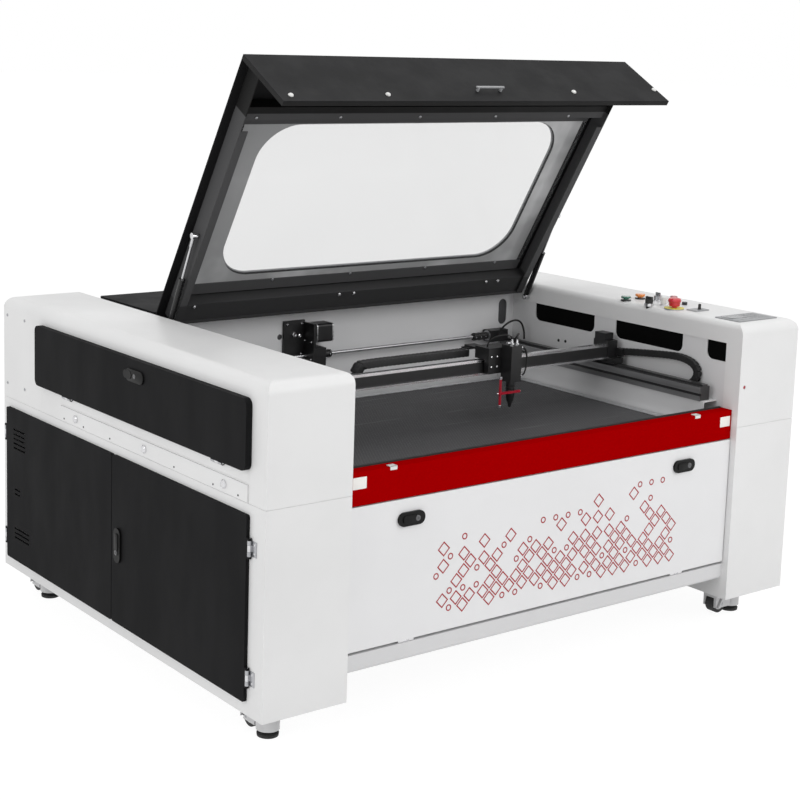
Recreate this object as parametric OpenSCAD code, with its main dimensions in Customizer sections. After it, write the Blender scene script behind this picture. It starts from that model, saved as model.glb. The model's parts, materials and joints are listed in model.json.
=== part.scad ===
// Laser cutting machine with a lift-up lid, moving gantry and lifting bed.
// Units are millimetres. Origin: centre of the footprint, on the floor.
// +X is the operator's right, +Y is to the back, +Z is up.

/* [Overall size] */
// Width over both side housings
machine_w = 1900; // [1500:10:2400]
// Depth of the side housings
machine_d = 1430; // [1180:10:1800]
// Height of the housings above the floor
machine_h = 920; // [850:5:1100]
// Width of one side housing
housing_w = 250; // [220:5:320]
// Height of the housings' underside
ground_gap = 90; // [80:5:120]

/* [Sheet metal] */
// Thickness of the housing sheet
sheet = 3; // [2:0.5:4]
// Bend radius of the housings' upper edges
bend_r = 32; // [20:2:44]

/* [Lid] */
// Angle of the open lid above its closed position
lid_open = 59.5; // [0:0.5:65]
// Width of the clear window
window_w = 1102; // [800:2:1160]

/* [Motion system] */
// Depth of the gantry beam
beam_d = 48; // [40:1:60]
// Radius of the lens tube
lens_r = 14; // [12:0.5:20]
// Running clearance of shafts and slides, on the radius
fit = 0.05; // [0.02:0.01:0.1]

/* [Casters] */
// Radius of the caster wheels
wheel_r = 30; // [25:1:36]

/* [Hidden] */
$fn = 48;

big = 4000;
gap = 0.4;
joint = 0.3;
x_out = machine_w / 2;
x_in = x_out - housing_w;
y_f = -machine_d / 2;
y_b = machine_d / 2;
seam_z = 617;

// work chamber
wall_y = 272;
chamber_z = 205;
chamber_top = 858;
shelf_z = 683;
shelf_x = x_in - 55;
shelf_y0 = y_f + 84;
rail_h = 48;
rail_top = shelf_z + rail_h;
opening_top = machine_h - 62;

// front
band_y = y_f + 22;
band_z0 = 580;
band_z1 = 665;
door_z0 = 203;
lip_d = 46;

// lid, drawn closed and turned about the hinge line
hinge_y = 232;
hinge_z = machine_h - 24;
lid_x = x_in - 3;
lid_wall_x = x_in - 31;
lid_front = band_y + 51;
lid_wall_z = machine_h - 58;
lid_in = lid_wall_x - 3 - joint;
lid_top = machine_h - sheet - joint;
window_y0 = -429;
window_y1 = 90;
window_r = 115;

// gas struts
strut_x = x_in - 15;
foot_y = 195;
foot_z = machine_h - 44;
stud_y = 62;
stud_z = machine_h + 241;
strut_len = norm([stud_y - foot_y, stud_z - foot_z]);
strut_ang = atan2(stud_z - foot_z, stud_y - foot_y);

// motion system
beam_y = -238;
beam_z = 745;
beam_h = 37;
beam_x = x_in - 60;
shaft_y = 240;
shaft_z = 747;
head_x = 195;
head_y = -284;
chain_y0 = beam_y + beam_d + 12;

// bed
bed_z = 614;
bed_x = x_in - 60;
bed_y0 = y_f + 63;
bed_y1 = wall_y - 82;
border = 28;

// casters
pad_x = x_out - 95;
pad_y = -y_f - 115;

// ---------- helpers ----------

// Box between two opposite corners.
module block(a, b) {
    translate(a) cube(b - a);
}

// Rectangle with round corners, centred.
module round_rect(w, d, r) {
    square([w - 2 * r, d], center = true);
    square([w, d - 2 * r], center = true);
    for (x = [-1, 1], y = [-1, 1])
        translate([x * (w / 2 - r), y * (d / 2 - r)]) circle(r);
}

// Extrudes a (y, z) outline along X.
module along_x(x0, x1) {
    translate([x0, 0, 0]) rotate([90, 0, 90]) linear_extrude(x1 - x0) children();
}

// Extrudes an (x, z) outline along Y.
module along_y(y0, y1) {
    translate([0, y1, 0]) rotate([90, 0, 0]) linear_extrude(y1 - y0) children();
}

// Children and their mirror image on the other side.
module both_sides() {
    children();
    mirror([1, 0, 0]) children();
}

// Round bar between two heights, or along X from x0 to x1.
module rod_z(p, r, h) {
    translate(p) cylinder(r = r, h = h);
}

module rod_x(x0, x1, y, z, r) {
    translate([x0, y, z]) rotate([0, 90, 0]) cylinder(r = r, h = x1 - x0);
}

// Rectangle between corners with chosen round corners [lower, upper].
module soft_rect(x0, x1, y0, y1, r_left, r_right) {
    difference() {
        translate([x0, y0]) square([x1 - x0, y1 - y0]);
        if (r_left > 0) translate([x0, y1]) corner_cut(r_left, 1);
        if (r_right > 0) translate([x1, y1]) corner_cut(r_right, -1);
    }
}

// What a rounded upper corner removes; side is 1 for left, -1 for right.
module corner_cut(r, side) {
    difference() {
        translate([side > 0 ? -1 : -r, -r]) square([r + 1, r + 1]);
        translate([side * r, -r]) circle(r);
    }
}

// Turns what is drawn closed to the open rest position of the lid.
module opened() {
    translate([0, hinge_y, hinge_z]) rotate([-lid_open, 0, 0])
        translate([0, -hinge_y, -hinge_z]) children();
}

// ---------- hinges ----------
knuckle_r = 5;
pin_r = 2.5;
knuckle_h = 16;
hinge_h = 50;

// Middle knuckle and pin, along Z; the half that stays.
module hinge_fixed(r) {
    translate([0, 0, -knuckle_h / 2]) cylinder(r = r, h = knuckle_h);
    translate([0, 0, -hinge_h / 2]) cylinder(r = r / 2, h = hinge_h);
}

// Outer knuckles with bores, along Z; the half that turns. Children are
// its tabs, drawn full length and cut away around the middle knuckle.
module hinge_moving(r) {
    difference() {
        union() {
            translate([0, 0, -hinge_h / 2]) cylinder(r = r, h = hinge_h);
            children();
        }
        translate([0, 0, -knuckle_h / 2 - gap])
            cylinder(r = r + gap, h = knuckle_h + 2 * gap);
        translate([0, 0, -hinge_h]) cylinder(r = r / 2 + fit, h = 2 * hinge_h);
    }
}

// ---------- side housings ----------

// Outer form of an upper housing, shrunk on every face by inset.
module upper_form(inset) {
    r = bend_r - inset;
    intersection() {
        along_y(y_f + inset, y_b - inset)
            soft_rect(x_in + inset, x_out - inset, seam_z - inset,
                      machine_h - inset, 18 - inset, r);
        along_x(x_in, x_out)
            soft_rect(y_f + inset, y_b - inset, seam_z - inset - 1,
                      machine_h - inset, r, r);
    }
}

module housing_upper() {
    color("whitesmoke") difference() {
        upper_form(0);
        difference() {
            upper_form(sheet);
            block([0, y_f, 0], [x_out, y_b, seam_z - sheet - 1]);
        }
        // open underside
        block([x_in + sheet, y_f + sheet, seam_z - 1],
              [x_out - sheet, y_b - sheet, seam_z + sheet]);
        // side of the work chamber
        block([x_in - 1, y_f + 58, 650], [x_in + sheet + 1, wall_y, opening_top]);
        // behind the outer door or panel
        block([x_out - sheet - 1, -640, seam_z - 2], [x_out + 1, 460, 862]);
    }
    // strip under the outer door or panel
    color("whitesmoke") block([x_out - sheet, -640 + joint, seam_z],
                              [x_out, 460 - joint, 707]);
}

module housing_lower() {
    color("whitesmoke") difference() {
        union() {
            block([x_in, y_f, ground_gap], [x_out, y_b, seam_z - 2]);
            block([x_in, y_f + 1.5, seam_z - 2], [x_out - 1.5, y_b - 1.5, seam_z]);
        }
        block([x_in + sheet, y_f + sheet, ground_gap + sheet],
              [x_out - sheet, y_b - sheet, seam_z + 1]);
        block([x_out - sheet - 1, -640, 135], [x_out + 1, 670, 580]);
    }
}

// ---------- base and rear ----------

module chassis() {
    color("dimgray") {
        both_sides() block([x_in - 60, band_y + 34, 150], [x_in, 600, 200]);
        block([-x_in + 60, 225, 150], [x_in - 60, 275, 200]);
        block([-x_in + 60, 560, 150], [x_in - 60, 600, 200]);
        both_sides() block([x_in - 60, band_y + 34, 200], [x_in, wall_y + 3, 205]);
    }
}

module base_rail() {
    color("whitesmoke") along_x(-x_in, x_in) difference() {
        union() {
            translate([band_y, 162]) square([34, 36]);
            translate([band_y + 12, 150]) square([22, 12]);
            translate([band_y + 12, 162]) circle(12);
        }
        translate([band_y + 3, 162]) square([28, 33]);
        translate([band_y + 12, 153]) square([19, 10]);
    }
}

module rear_body() {
    color("gainsboro") tube_mounts();
    color("gainsboro") difference() {
        block([-x_in, wall_y + 3, 200], [x_in, 612, 903]);
        block([-x_in + sheet, wall_y + 6, 203], [x_in - sheet, 609, 904]);
        for (x = [-170, 170]) translate([x, 600, 380]) rotate([-90, 0, 0])
            cylinder(r = 70, h = 30);
    }
}

module rear_services() {
    color("silver") {
        for (x = [-170, 170]) translate([x, 612, 380]) rotate([-90, 0, 0])
            difference() {
                union() {
                    cylinder(r = 75, h = 75);
                    cylinder(r = 92, h = 3);
                }
                translate([0, 0, -1]) cylinder(r = 70, h = 80);
            }
        translate([-480, 612, 300]) difference() {
            block([-26, 0, -20], [26, 14, 20]);
            block([-18, 4, -12], [18, 15, 12]);
        }
        for (x = [430, 480]) translate([x, 612, 300]) rotate([-90, 0, 0])
            difference() {
                union() {
                    cylinder(r = 12, h = 10);
                    cylinder(r = 6, h = 30);
                }
                translate([0, 0, 5]) cylinder(r = 4, h = 30);
            }
    }
}

module laser_tube() {
    color("lightcyan") {
        rod_x(-560, 560, 440, 820, 40);
        rod_x(-590, -560, 440, 820, 24);
        rod_x(560, 590, 440, 820, 24);
    }
}

module tube_mounts() {
    for (x = [-400, 400]) difference() {
        union() {
            block([x - 15, 395, 203], [x + 15, 485, 820]);
            rod_x(x - 15, x + 15, 440, 820, 48);
        }
        rod_x(x - 16, x + 16, 440, 820, 40);
    }
}

module power_supply() {
    color("darkgray") {
        block([x_in + 40, 60, ground_gap + sheet], [x_in + 200, 420, 240]);
        block([x_in + 60, y_f + 155, ground_gap + sheet], [x_in + 180, y_f + 385, 140]);
    }
}

// ---------- work chamber ----------

module chamber_windows() {
    for (c = [[24, 274], [-346.5, 279], [y_f + 84, 98]])
        along_x(x_in - 1, x_in + 20) translate([c[0], 857]) {
            translate([-c[1] / 2, -34]) square([c[1], 80]);
            translate([-c[1] / 2 + 22, -56]) square([c[1] - 44, 80]);
            for (s = [-1, 1]) translate([s * (c[1] / 2 - 22), -34]) circle(22);
        }
}

module work_chamber() {
    color("darkgray") {
        both_sides() difference() {
            block([x_in + sheet, y_f + 25, chamber_z],
                  [x_in + sheet + 3, wall_y + 3, chamber_top]);
            chamber_windows();
        }
        // back wall with its cable slot and hole
        difference() {
            union() {
                block([-x_in, wall_y, chamber_z], [x_in, wall_y + 3, 887]);
                block([-x_in, 249, 884], [x_in, wall_y + 3, 887]);
            }
            along_y(wall_y - 1, wall_y + 4) translate([655, 816])
                round_rect(36, 86, 17.9);
            along_y(wall_y - 1, wall_y + 4) translate([-250, 806]) circle(9);
        }
        block([-x_in, band_y + 34, chamber_z], [x_in, wall_y - joint, chamber_z + 3]);
        // shelves that carry the rails
        both_sides() {
            block([shelf_x, shelf_y0, shelf_z - 3], [x_in + sheet - joint, wall_y - joint, shelf_z]);
            block([shelf_x, shelf_y0, 560], [shelf_x + 3, wall_y - joint, shelf_z - 3]);
            block([shelf_x + 3, shelf_y0, 560], [x_in - joint, wall_y - joint, 563]);
        }
        // cross member behind the band
        block([-x_in, band_y + 3, band_z0 + 3], [x_in, band_y + 6, band_z1 - 3]);
    }
}

// Dark sheets behind the windows of the side walls.
module window_covers() {
    color("black") both_sides()
        for (w = [[24, 300], [-346.5, 305], [y_f + 97, 70]])
            block([x_in + sheet + 3, w[0] - w[1] / 2, 786],
                  [x_in + sheet + 4.5, w[0] + w[1] / 2, 857.7]);
}

module front_band() {
    color("firebrick") {
        block([-x_in + 0.5, band_y, band_z0], [x_in - 0.5, band_y + 3, band_z1]);
        block([-x_in + 0.5, band_y + 3, band_z1 - 3],
              [x_in - 0.5, band_y + lip_d, band_z1]);
        block([-x_in + 0.5, band_y + 3, band_z0],
              [x_in - 0.5, band_y + lip_d - 9, band_z0 + 3]);
    }
}

module lid_seal() {
    color("black") block([-x_in + 8, band_y + 36, band_z1],
                         [x_in - 8, band_y + 44, band_z1 + 4]);
}

module y_rails() {
    color("dimgray") both_sides() {
        difference() {
            block([x_in - 60, shelf_y0 + 12, shelf_z], [x_in - 18, 262, rail_top - 6]);
            block([x_in - 61, shelf_y0 + 10, shelf_z + 14], [x_in - 54, 263, shelf_z + 22]);
        }
        block([x_in - 48, shelf_y0 + 12, rail_top - 6], [x_in - 28, 262, rail_top]);
    }
}

// ---------- gantry drive ----------

module gantry_drive() {
    color("black") {
        shaft_bearings();
        difference() {
            union() {
                block([-240, 262, 740], [-164, wall_y, 855]);
                block([-168, 208, 712], [-160, wall_y, 848]);
                block([-160, 214, 716], [-116, 266, 772]);
            }
            rod_x(-169, -115, shaft_y, shaft_z, 6 + fit);
        }
        translate([0, 240, 818]) {
            rod_x(-160, -154, 0, 0, 20);
            along_x(-154, -92) round_rect(57, 57, 8);
        }
    }
}

module shaft_bearings() {
    both_sides() difference() {
        union() {
            block([562, 222, 727], [x_in - 62, 258, 765]);
            block([570, 258, 731], [x_in - 70, wall_y, 761]);
        }
        rod_x(540, x_in, shaft_y, shaft_z, 6 + fit);
    }
}

module drive_shaft() {
    color("silver") {
        rod_x(-x_in + 65, x_in - 65, shaft_y, shaft_z, 6);
        rod_x(-113, -83, shaft_y, shaft_z, 12);
        rod_x(500, 555, shaft_y, shaft_z, 12);
    }
}

module gantry_beam() {
    color("black") {
        gantry_ends();
        block([-beam_x, beam_y, beam_z], [beam_x, beam_y + beam_d, beam_z + beam_h]);
        // tray of the cable chain
        block([-beam_x, beam_y + beam_d, beam_z - 4], [beam_x, beam_y + beam_d + 52, beam_z - 1]);
        block([-beam_x, beam_y + beam_d, beam_z - 1], [beam_x, beam_y + beam_d + 3, beam_z + 20]);
    }
}

module gantry_rails() {
    color("silver") {
        block([-beam_x, beam_y + 2, beam_z + beam_h],
              [beam_x, beam_y + 20, beam_z + beam_h + 8]);
        block([-beam_x, beam_y - 5, beam_z], [beam_x, beam_y, beam_z + 6]);
    }
}

module gantry_ends() {
    both_sides() {
        block([beam_x, beam_y - 30, rail_top + gap], [x_in - 20, beam_y + 66, 748]);
        block([beam_x, beam_y - 2, 748], [x_in - 20, beam_y + 62, 800]);
        block([beam_x, beam_y + 12, 800], [x_in - 26, beam_y + 58, 822]);
        block([x_in - 26, beam_y - 30, 752], [x_in - 18, beam_y + 10, 776]);
    }
}

// Cable chain outline: lower run on z = 0, upper run above, bend at x = 0.
module chain_outline(h, r_in, low_len, up_len) {
    r = r_in + h;
    difference() {
        translate([0, r]) circle(r);
        translate([0, r]) circle(r_in);
        translate([0, -1]) square([r + 2, 2 * r + 2]);
    }
    square([low_len, h]);
    translate([0, r + r_in]) square([up_len, h]);
}

module x_drag_chain() {
    color("black") translate([-262, 0, beam_z - 1])
        along_y(chain_y0, chain_y0 + 32) chain_outline(21, 12, 640, 385);
}

module y_drag_chain() {
    color("black") along_x(x_in - 17.5, x_in - 1)
        translate([-528, shelf_z + 9]) chain_outline(22, 28, 631, 306);
}

module carriage() {
    color("black") {
        block([126, -262, 750], [214, beam_y - 5 - gap, 826]);
        block([126, beam_y - 5 - gap, beam_z + beam_h + 8 + gap],
              [214, beam_y + 38, 826]);
        // arm to the cable chain
        block([126, beam_y + 38, 815], [165, chain_y0 + 28, 821]);
        block([118, chain_y0, beam_z + 65 + gap], [165, chain_y0 + 32, 815]);
        difference() {
            block([head_x - 20, -306, 728], [head_x + 20, -262, 836]);
            rod_z([head_x, head_y, 700], lens_r + fit, 112);
        }
    }
}

module lens_tube() {
    color("dimgray") translate([head_x, head_y, 0]) rotate_extrude() polygon([
        [2, 650], [4, 650], [8, 668], [10, 668], [lens_r, 690],
        [lens_r, 800], [2, 800]]);
}

module focus_pen() {
    color("crimson") {
        rod_z([head_x - 50, head_y - 12, 655], 4, 88);
        difference() {
            block([head_x - 60, head_y - 16, 694], [head_x + 26, head_y - 9, 701]);
            rod_z([head_x, head_y, 680], lens_r, 40);
        }
    }
}

// ---------- bed ----------

module screw_spots() {
    for (x = [-bed_x + border / 2, bed_x - border / 2], y = [bed_y0 + 92, bed_y1 - 60])
        translate([x, y, 0]) children();
}

module table_frame() {
    color("silver") difference() {
        block([-bed_x, bed_y0, 574], [bed_x, bed_y1, bed_z]);
        block([-bed_x + border, bed_y0 + 12, 586], [bed_x - border, bed_y1 - 22, bed_z + 1]);
        block([-bed_x + 60, bed_y0 + 60, 570], [bed_x - 60, bed_y1 - 60, 590]);
        screw_spots() cylinder(r = 8 + fit, h = 700);
    }
}

module honeycomb() {
    color("dimgray") block([-bed_x + border + 1, bed_y0 + 13, 586],
                           [bed_x - border - 1, bed_y1 - 23, bed_z - 1]);
}

module lift_screws() {
    color("silver") screw_spots() {
        translate([0, 0, chamber_z + 3]) cylinder(r = 8, h = 398);
        translate([0, 0, chamber_z + 3]) cylinder(r = 13, h = 12);
    }
}

// ---------- lid ----------

module lid() {
    color("dimgray") opened() {
        difference() {
            block([-lid_x, lid_front, machine_h - sheet], [lid_x, 240, machine_h]);
            translate([0, (window_y0 + window_y1) / 2, machine_h - 10])
                linear_extrude(20)
                    round_rect(window_w, window_y1 - window_y0, window_r);
        }
        // walls of the box
        both_sides() block([lid_wall_x - 3, lid_front + 3 + joint, lid_wall_z],
                           [lid_wall_x, 219, lid_top]);
        block([-lid_in, 216, lid_wall_z], [lid_in, 219, lid_top]);
        both_sides() block([lid_wall_x - 25, -440, lid_wall_z],
                           [lid_wall_x - 3, 216 - joint, lid_wall_z + 3]);
        // cross members
        block([-lid_in, -508, 876], [lid_in, -505, lid_top]);
        block([-lid_in, -505, 876], [lid_in, -466, 879]);
        block([-lid_in, 158, 872], [lid_in, 161, lid_top]);
        block([-lid_in, 161, 872], [lid_in, 216 - joint, 875]);
        // strips that hold the window
        block([-640, -466, 906], [640, -434, 909.5]);
        block([-640, 112, 906], [640, 148, 909.5]);
        // visor with its hems
        block([-lid_x, lid_front, 700], [lid_x, lid_front + 3, lid_top]);
        block([-lid_x, lid_front + 3, 700], [lid_x, lid_front + 15, 703]);
        both_sides() block([lid_x - 3, lid_front + 3, 703],
                           [lid_x, lid_front + 15, lid_top]);
        // hinge tabs behind the rear wall
        for (x = [-600, 0, 600]) translate([x, hinge_y, hinge_z])
            rotate([0, 90, 0]) rotate([0, 0, 180]) difference() {
                union() for (s = [0, 1]) mirror([0, 0, s]) {
                    translate([0, 0, knuckle_h / 2 + gap])
                        cylinder(r = knuckle_r, h = (hinge_h - knuckle_h) / 2 - gap);
                    block([-knuckle_r, 0, knuckle_h / 2 + gap], [knuckle_r, 13, hinge_h / 2]);
                }
                translate([0, 0, -hinge_h]) cylinder(r = pin_r + fit, h = 2 * hinge_h);
            }
        // pull handle
        for (x = [-27, 57]) block([x - 3, lid_front - 12, 745], [x + 3, lid_front, 751]);
        block([-35, lid_front - 16, 745], [65, lid_front - 12, 751]);
        // studs of the gas struts
        both_sides() closed_at_stud()
            rod_x(lid_wall_x, lid_wall_x + 8.5, 0, 0, 5);
    }
}

// Places children at the strut stud, in the closed position.
module closed_at_stud() {
    ry = stud_y - hinge_y;
    rz = stud_z - hinge_z;
    translate([0, hinge_y + ry * cos(lid_open) - rz * sin(lid_open),
               hinge_z + ry * sin(lid_open) + rz * cos(lid_open)]) children();
}

module lid_window() {
    color([0.8, 0.9, 0.9, 0.4]) opened()
        block([-645, -464, 909.5], [645, 146, machine_h - sheet]);
}

// Strut frame: origin at the foot, +Z along the strut.
module on_strut(side) {
    translate([side * strut_x, foot_y, foot_z]) rotate([strut_ang - 90, 0, 0])
        children();
}

module strut_body(side) {
    tube_len = strut_len * 0.55;
    color("black") {
        on_strut(side) {
            difference() {
                translate([0, 0, 12]) cylinder(r = 9, h = tube_len - 12);
                translate([0, 0, 30]) cylinder(r = 4 + fit, h = tube_len);
            }
            translate([-6, 0, 0]) rotate([0, 90, 0]) difference() {
                cylinder(r = 9, h = 12);
                translate([0, 0, -1]) cylinder(r = 4 + fit, h = 14);
            }
            block([-6, -5, 8.9], [6, 5, 13]);
        }
    }
}

module strut_rod(side) {
    tube_len = strut_len * 0.55;
    color("silver") on_strut(side) {
        translate([0, 0, 70]) cylinder(r = 4, h = strut_len - 70 - 7);
        translate([-7, 0, strut_len]) rotate([0, 90, 0]) cylinder(r = 9, h = 14);
    }
}

// ---------- doors ----------

side_hx = -x_out - 6;
side_front_hy = y_f + 59;
side_rear_hy = y_b - 27;
upper_hz = 690;
front_hy = band_y + 3.5;
front_hz = 202;
cover_hy = 606;
cover_hz = 909;
upper_hinges = [-509, 287];
lower_hinges = [189, 511];
long_hinges = [-500, 500];

// Frame half of a lid hinge, about the hinge line.
module lid_hinge_half() {
    rotate([0, 90, 0]) {
        translate([0, 0, -knuckle_h / 2]) cylinder(r = knuckle_r, h = knuckle_h);
        translate([0, 0, -hinge_h / 2]) cylinder(r = pin_r, h = hinge_h);
    }
    block([-knuckle_h / 2, 0, -9], [knuckle_h / 2, knuckle_r, 0]);
    block([-knuckle_h / 2, 0, -9], [knuckle_h / 2, 36, -6.9]);
    block([-hinge_h / 2, 17, -9], [hinge_h / 2, 36, -6.9]);
}

// Every fixed hinge half, the strip's bolts and the struts' foot pins.
module hinges() {
    color("silver") {
        for (x = [-600, 0, 600]) translate([x, hinge_y, hinge_z]) lid_hinge_half();
        both_sides() {
            rod_x(strut_x - 8, x_in, foot_y, foot_z, 4);
            rod_x(strut_x + 6 + gap, x_in, foot_y, foot_z, 8);
        }
        for (z = lower_hinges, y = [side_front_hy, side_rear_hy]) {
            translate([side_hx, y, z]) hinge_fixed(knuckle_r);
            block([side_hx, y - 4, z - 8], [-x_out, y + 4, z + 8]);
        }
        for (y = upper_hinges) {
            translate([side_hx, y, upper_hz]) rotate([90, 0, 0]) hinge_fixed(knuckle_r);
            block([side_hx, y - 8, upper_hz - 4], [-x_out, y + 8, upper_hz + 4]);
        }
        for (x = long_hinges) {
            translate([x, front_hy, front_hz]) rotate([0, 90, 0]) hinge_fixed(3.5);
            block([x - 8, front_hy - 1.2, 198], [x + 8, front_hy + 2, front_hz]);
            translate([x, cover_hy, cover_hz]) rotate([0, 90, 0]) hinge_fixed(knuckle_r);
            block([x - 8, cover_hy - 3, 903], [x + 8, cover_hy + 3, cover_hz]);
        }
        // domed bolts of the strip on the left side
        for (y = [-537, -148, 239]) translate([-x_out - 4, y, 640]) rotate([0, -90, 0])
            rotate_extrude() polygon([[0, 0], [11, 0], [11, 3], [8, 6.5], [4, 8], [0, 8.4]]);
    }
}

// Hollow door leaf: face up, open underneath, standing on z = 0.
module leaf(w, h, t, r) {
    difference() {
        linear_extrude(t) round_rect(w, h, r);
        translate([0, 0, -1]) linear_extrude(t - sheet + 1)
            round_rect(w - 2 * sheet, h - 2 * sheet, r - sheet);
    }
}

// Places a leaf on the left side, by its y and z limits.
module on_left(y0, y1, z0, z1) {
    translate([-x_out - 0.5, (y0 + y1) / 2, (z0 + z1) / 2]) rotate([90, 0, -90])
        children();
}

// Bore for a latch spindle at a latch's place.
spindle_r = 6;
latch_upper = [-x_out - 18, -89, 830];
latch_lower = [-x_out - 10, -22, 347];
latch_front_x = 500;
latch_front_z = 525;
front_face = band_y - 2;

module door_upper_left() {
    color("dimgray") {
        difference() {
            on_left(-650, 470, 697, 872) leaf(1120, 175, 17.5, 18);
            translate(latch_upper) rotate([0, 90, 0])
                cylinder(r = spindle_r + fit, h = 30, center = true);
        }
        for (y = upper_hinges) translate([side_hx, y, upper_hz]) rotate([90, 0, 0])
            hinge_moving(knuckle_r) block([-5, 0, -25], [0, 9, 25]);
    }
}

// Vent slots of the rear door, in rows.
module vents() {
    for (g = [[592, 506, 78, 5], [606, 344, 36, 2], [577, 216, 97, 3]])
        for (i = [0 : g[3] - 1])
            translate([-x_out - 20, g[0] - g[2] / 2, g[1] + 14 * (i - g[3] / 2)])
                cube([30, g[2], 5]);
}

module door_front_left() {
    color("dimgray") {
        difference() {
            on_left(-648, 16, 125, 590) leaf(664, 465, 9.5, 6);
            translate(latch_lower) rotate([0, 90, 0])
                cylinder(r = spindle_r + fit, h = 30, center = true);
        }
        for (z = lower_hinges) translate([side_hx, side_front_hy, z])
            hinge_moving(knuckle_r) block([-4, 0, -25], [0, 11, 25]);
    }
}

module door_rear_left() {
    color("dimgray") {
        difference() {
            on_left(19, 680, 125, 590) leaf(661, 465, 9.5, 6);
            vents();
        }
        for (z = lower_hinges) translate([side_hx, side_rear_hy, z])
            hinge_moving(knuckle_r) block([-4, -11, -25], [0, 0, 25]);
    }
}

module service_panels() {
    color("dimgray") mirror([1, 0, 0]) {
        translate([0.5, 0, 0]) on_left(-650, 470, 697, 872) leaf(1120, 175, 17.5, 18);
        translate([0.5, 0, 0]) difference() {
            on_left(-650, 680, 125, 590) leaf(1330, 465, 9.5, 6);
            vents();
        }
    }
}

module front_door() {
    color("whitesmoke") {
        difference() {
            translate([0, front_face + 18, (206 + 577) / 2]) rotate([90, 0, 0])
                leaf(2 * x_in - 5, 371, 18, 4);
            for (x = [-latch_front_x, latch_front_x])
                translate([x, front_face, latch_front_z]) rotate([90, 0, 0])
                    cylinder(r = spindle_r + fit, h = 20, center = true);
        }
        for (x = long_hinges) translate([x, front_hy, front_hz]) rotate([0, 90, 0])
            hinge_moving(3.5) block([-6, -3.5, -25], [0, 0, 25]);
    }
}

module rear_cover() {
    color("dimgray") {
        translate([0, 432, 903.4]) leaf(1380, 336, 14.6, 8);
        for (x = long_hinges) translate([x, cover_hy, cover_hz]) rotate([0, 90, 0])
            hinge_moving(knuckle_r) block([-5, -9, -25], [0, 0, 25]);
    }
}

// Quarter-turn latch: grip above z = 0, spindle and cam below.
module latch(l, w, t, depth) {
    color("black") {
        translate([0, 0, gap]) linear_extrude(t) round_rect(l, w, w / 2 - 0.1);
        translate([0, 0, -depth]) cylinder(r = spindle_r, h = depth + gap);
        translate([-8, -8, -depth - 4]) cube([36, 16, 4]);
    }
}

module latch_upper_left() {
    translate(latch_upper) rotate([90, 0, -90]) latch(42, 22, 6, 6);
}

module latch_lower_left() {
    translate(latch_lower) rotate([90, 0, -90]) rotate([0, 0, 90]) latch(96, 34, 6, 5);
}

module latch_front_left() {
    translate([-latch_front_x, front_face, latch_front_z]) rotate([90, 0, 0])
        latch(84, 36, 7, 6);
}

module latch_front_right() {
    translate([latch_front_x, front_face, latch_front_z]) rotate([90, 0, 0])
        latch(84, 36, 7, 6);
}

// ---------- controls on the right housing ----------
stop_at = [x_in + 39, y_f + 303];
green_at = [x_in + 23, y_f + 490];
orange_at = [x_in + 91, y_f + 494];
white_at = [x_in + 61, y_f + 366];
key_at = [x_in + 102, y_f + 429];
knob_at = [x_in + 12, y_f + 382];
toggle_at = [x_in + 92, y_f + 249];
top_z = machine_h;
stem_r = 8;

// Collar that guides a control's stem, with its bore.
module collar(at, r, h, bore) {
    translate([at[0], at[1], top_z]) difference() {
        cylinder(r = r, h = h);
        translate([0, 0, -1]) cylinder(r = bore + fit, h = h + 2);
    }
}

module control_panel() {
    color("gray") {
        translate([x_in + 113, y_f + 86, top_z]) linear_extrude(2.5) round_rect(172, 96, 5);
        collar(stop_at, 30, 3, stem_r);
        collar(green_at, 16, 3, stem_r);
        collar(orange_at, 16, 3, stem_r);
        collar(white_at, 14, 3, stem_r);
        collar(key_at, 18, 6, stem_r);
        collar(knob_at, 14, 8, stem_r);
        difference() {
            translate([x_in + 87, y_f + 251, top_z]) linear_extrude(3) round_rect(62, 40, 4);
            translate([toggle_at[0], toggle_at[1], top_z - 1]) linear_extrude(5)
                round_rect(16, 10, 2);
        }
        // lamp and small switch body
        translate([x_in + 130, y_f + 343, top_z]) cylinder(r = 8, h = 9);
        translate([x_in + 126, y_f + 385, top_z]) cylinder(r = 11, h = 22);
    }
}

// Push button: stem in the collar and a cap above it.
module button(at, r, z0, h) {
    translate([at[0], at[1], top_z - 14]) cylinder(r = stem_r, h = 14 + z0 + h / 2);
    translate([at[0], at[1], top_z + z0]) cylinder(r = r, h = h);
}

module button_green() {
    color("green") button(green_at, 13, 8, 6);
}

module button_orange() {
    color("orange") button(orange_at, 13, 8, 8);
}

module button_white() {
    color("white") button(white_at, 11, 8, 18);
}

module emergency_stop() {
    color("red") {
        button(stop_at, 13, 9, 14);
        translate([stop_at[0], stop_at[1], top_z + 20]) rotate_extrude()
            polygon([[0, 0], [17, 0], [20, 3], [20, 9], [17, 13], [9, 15], [0, 15]]);
    }
}

module key_switch() {
    color("black") {
        button(key_at, 13, 6 + gap, 12);
        translate([key_at[0] - 2, key_at[1] - 9, top_z + 17]) cube([4, 18, 12]);
    }
}

module selector_knob() {
    color("black") {
        button(knob_at, 12, 8 + gap, 13);
        translate([knob_at[0] - 4, knob_at[1] - 12, top_z + 20]) cube([8, 24, 9]);
    }
}

module toggle_switch() {
    color("black") translate([toggle_at[0], toggle_at[1], top_z + 1.5]) {
        rotate([90, 0, 0]) cylinder(r = 3.6, h = 9.2, center = true);
        translate([-2.5, -3, 0]) cube([5, 6, 16]);
    }
}

// ---------- casters ----------
swivel_x = pad_x + 30;
axle_dx = -62;

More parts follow.
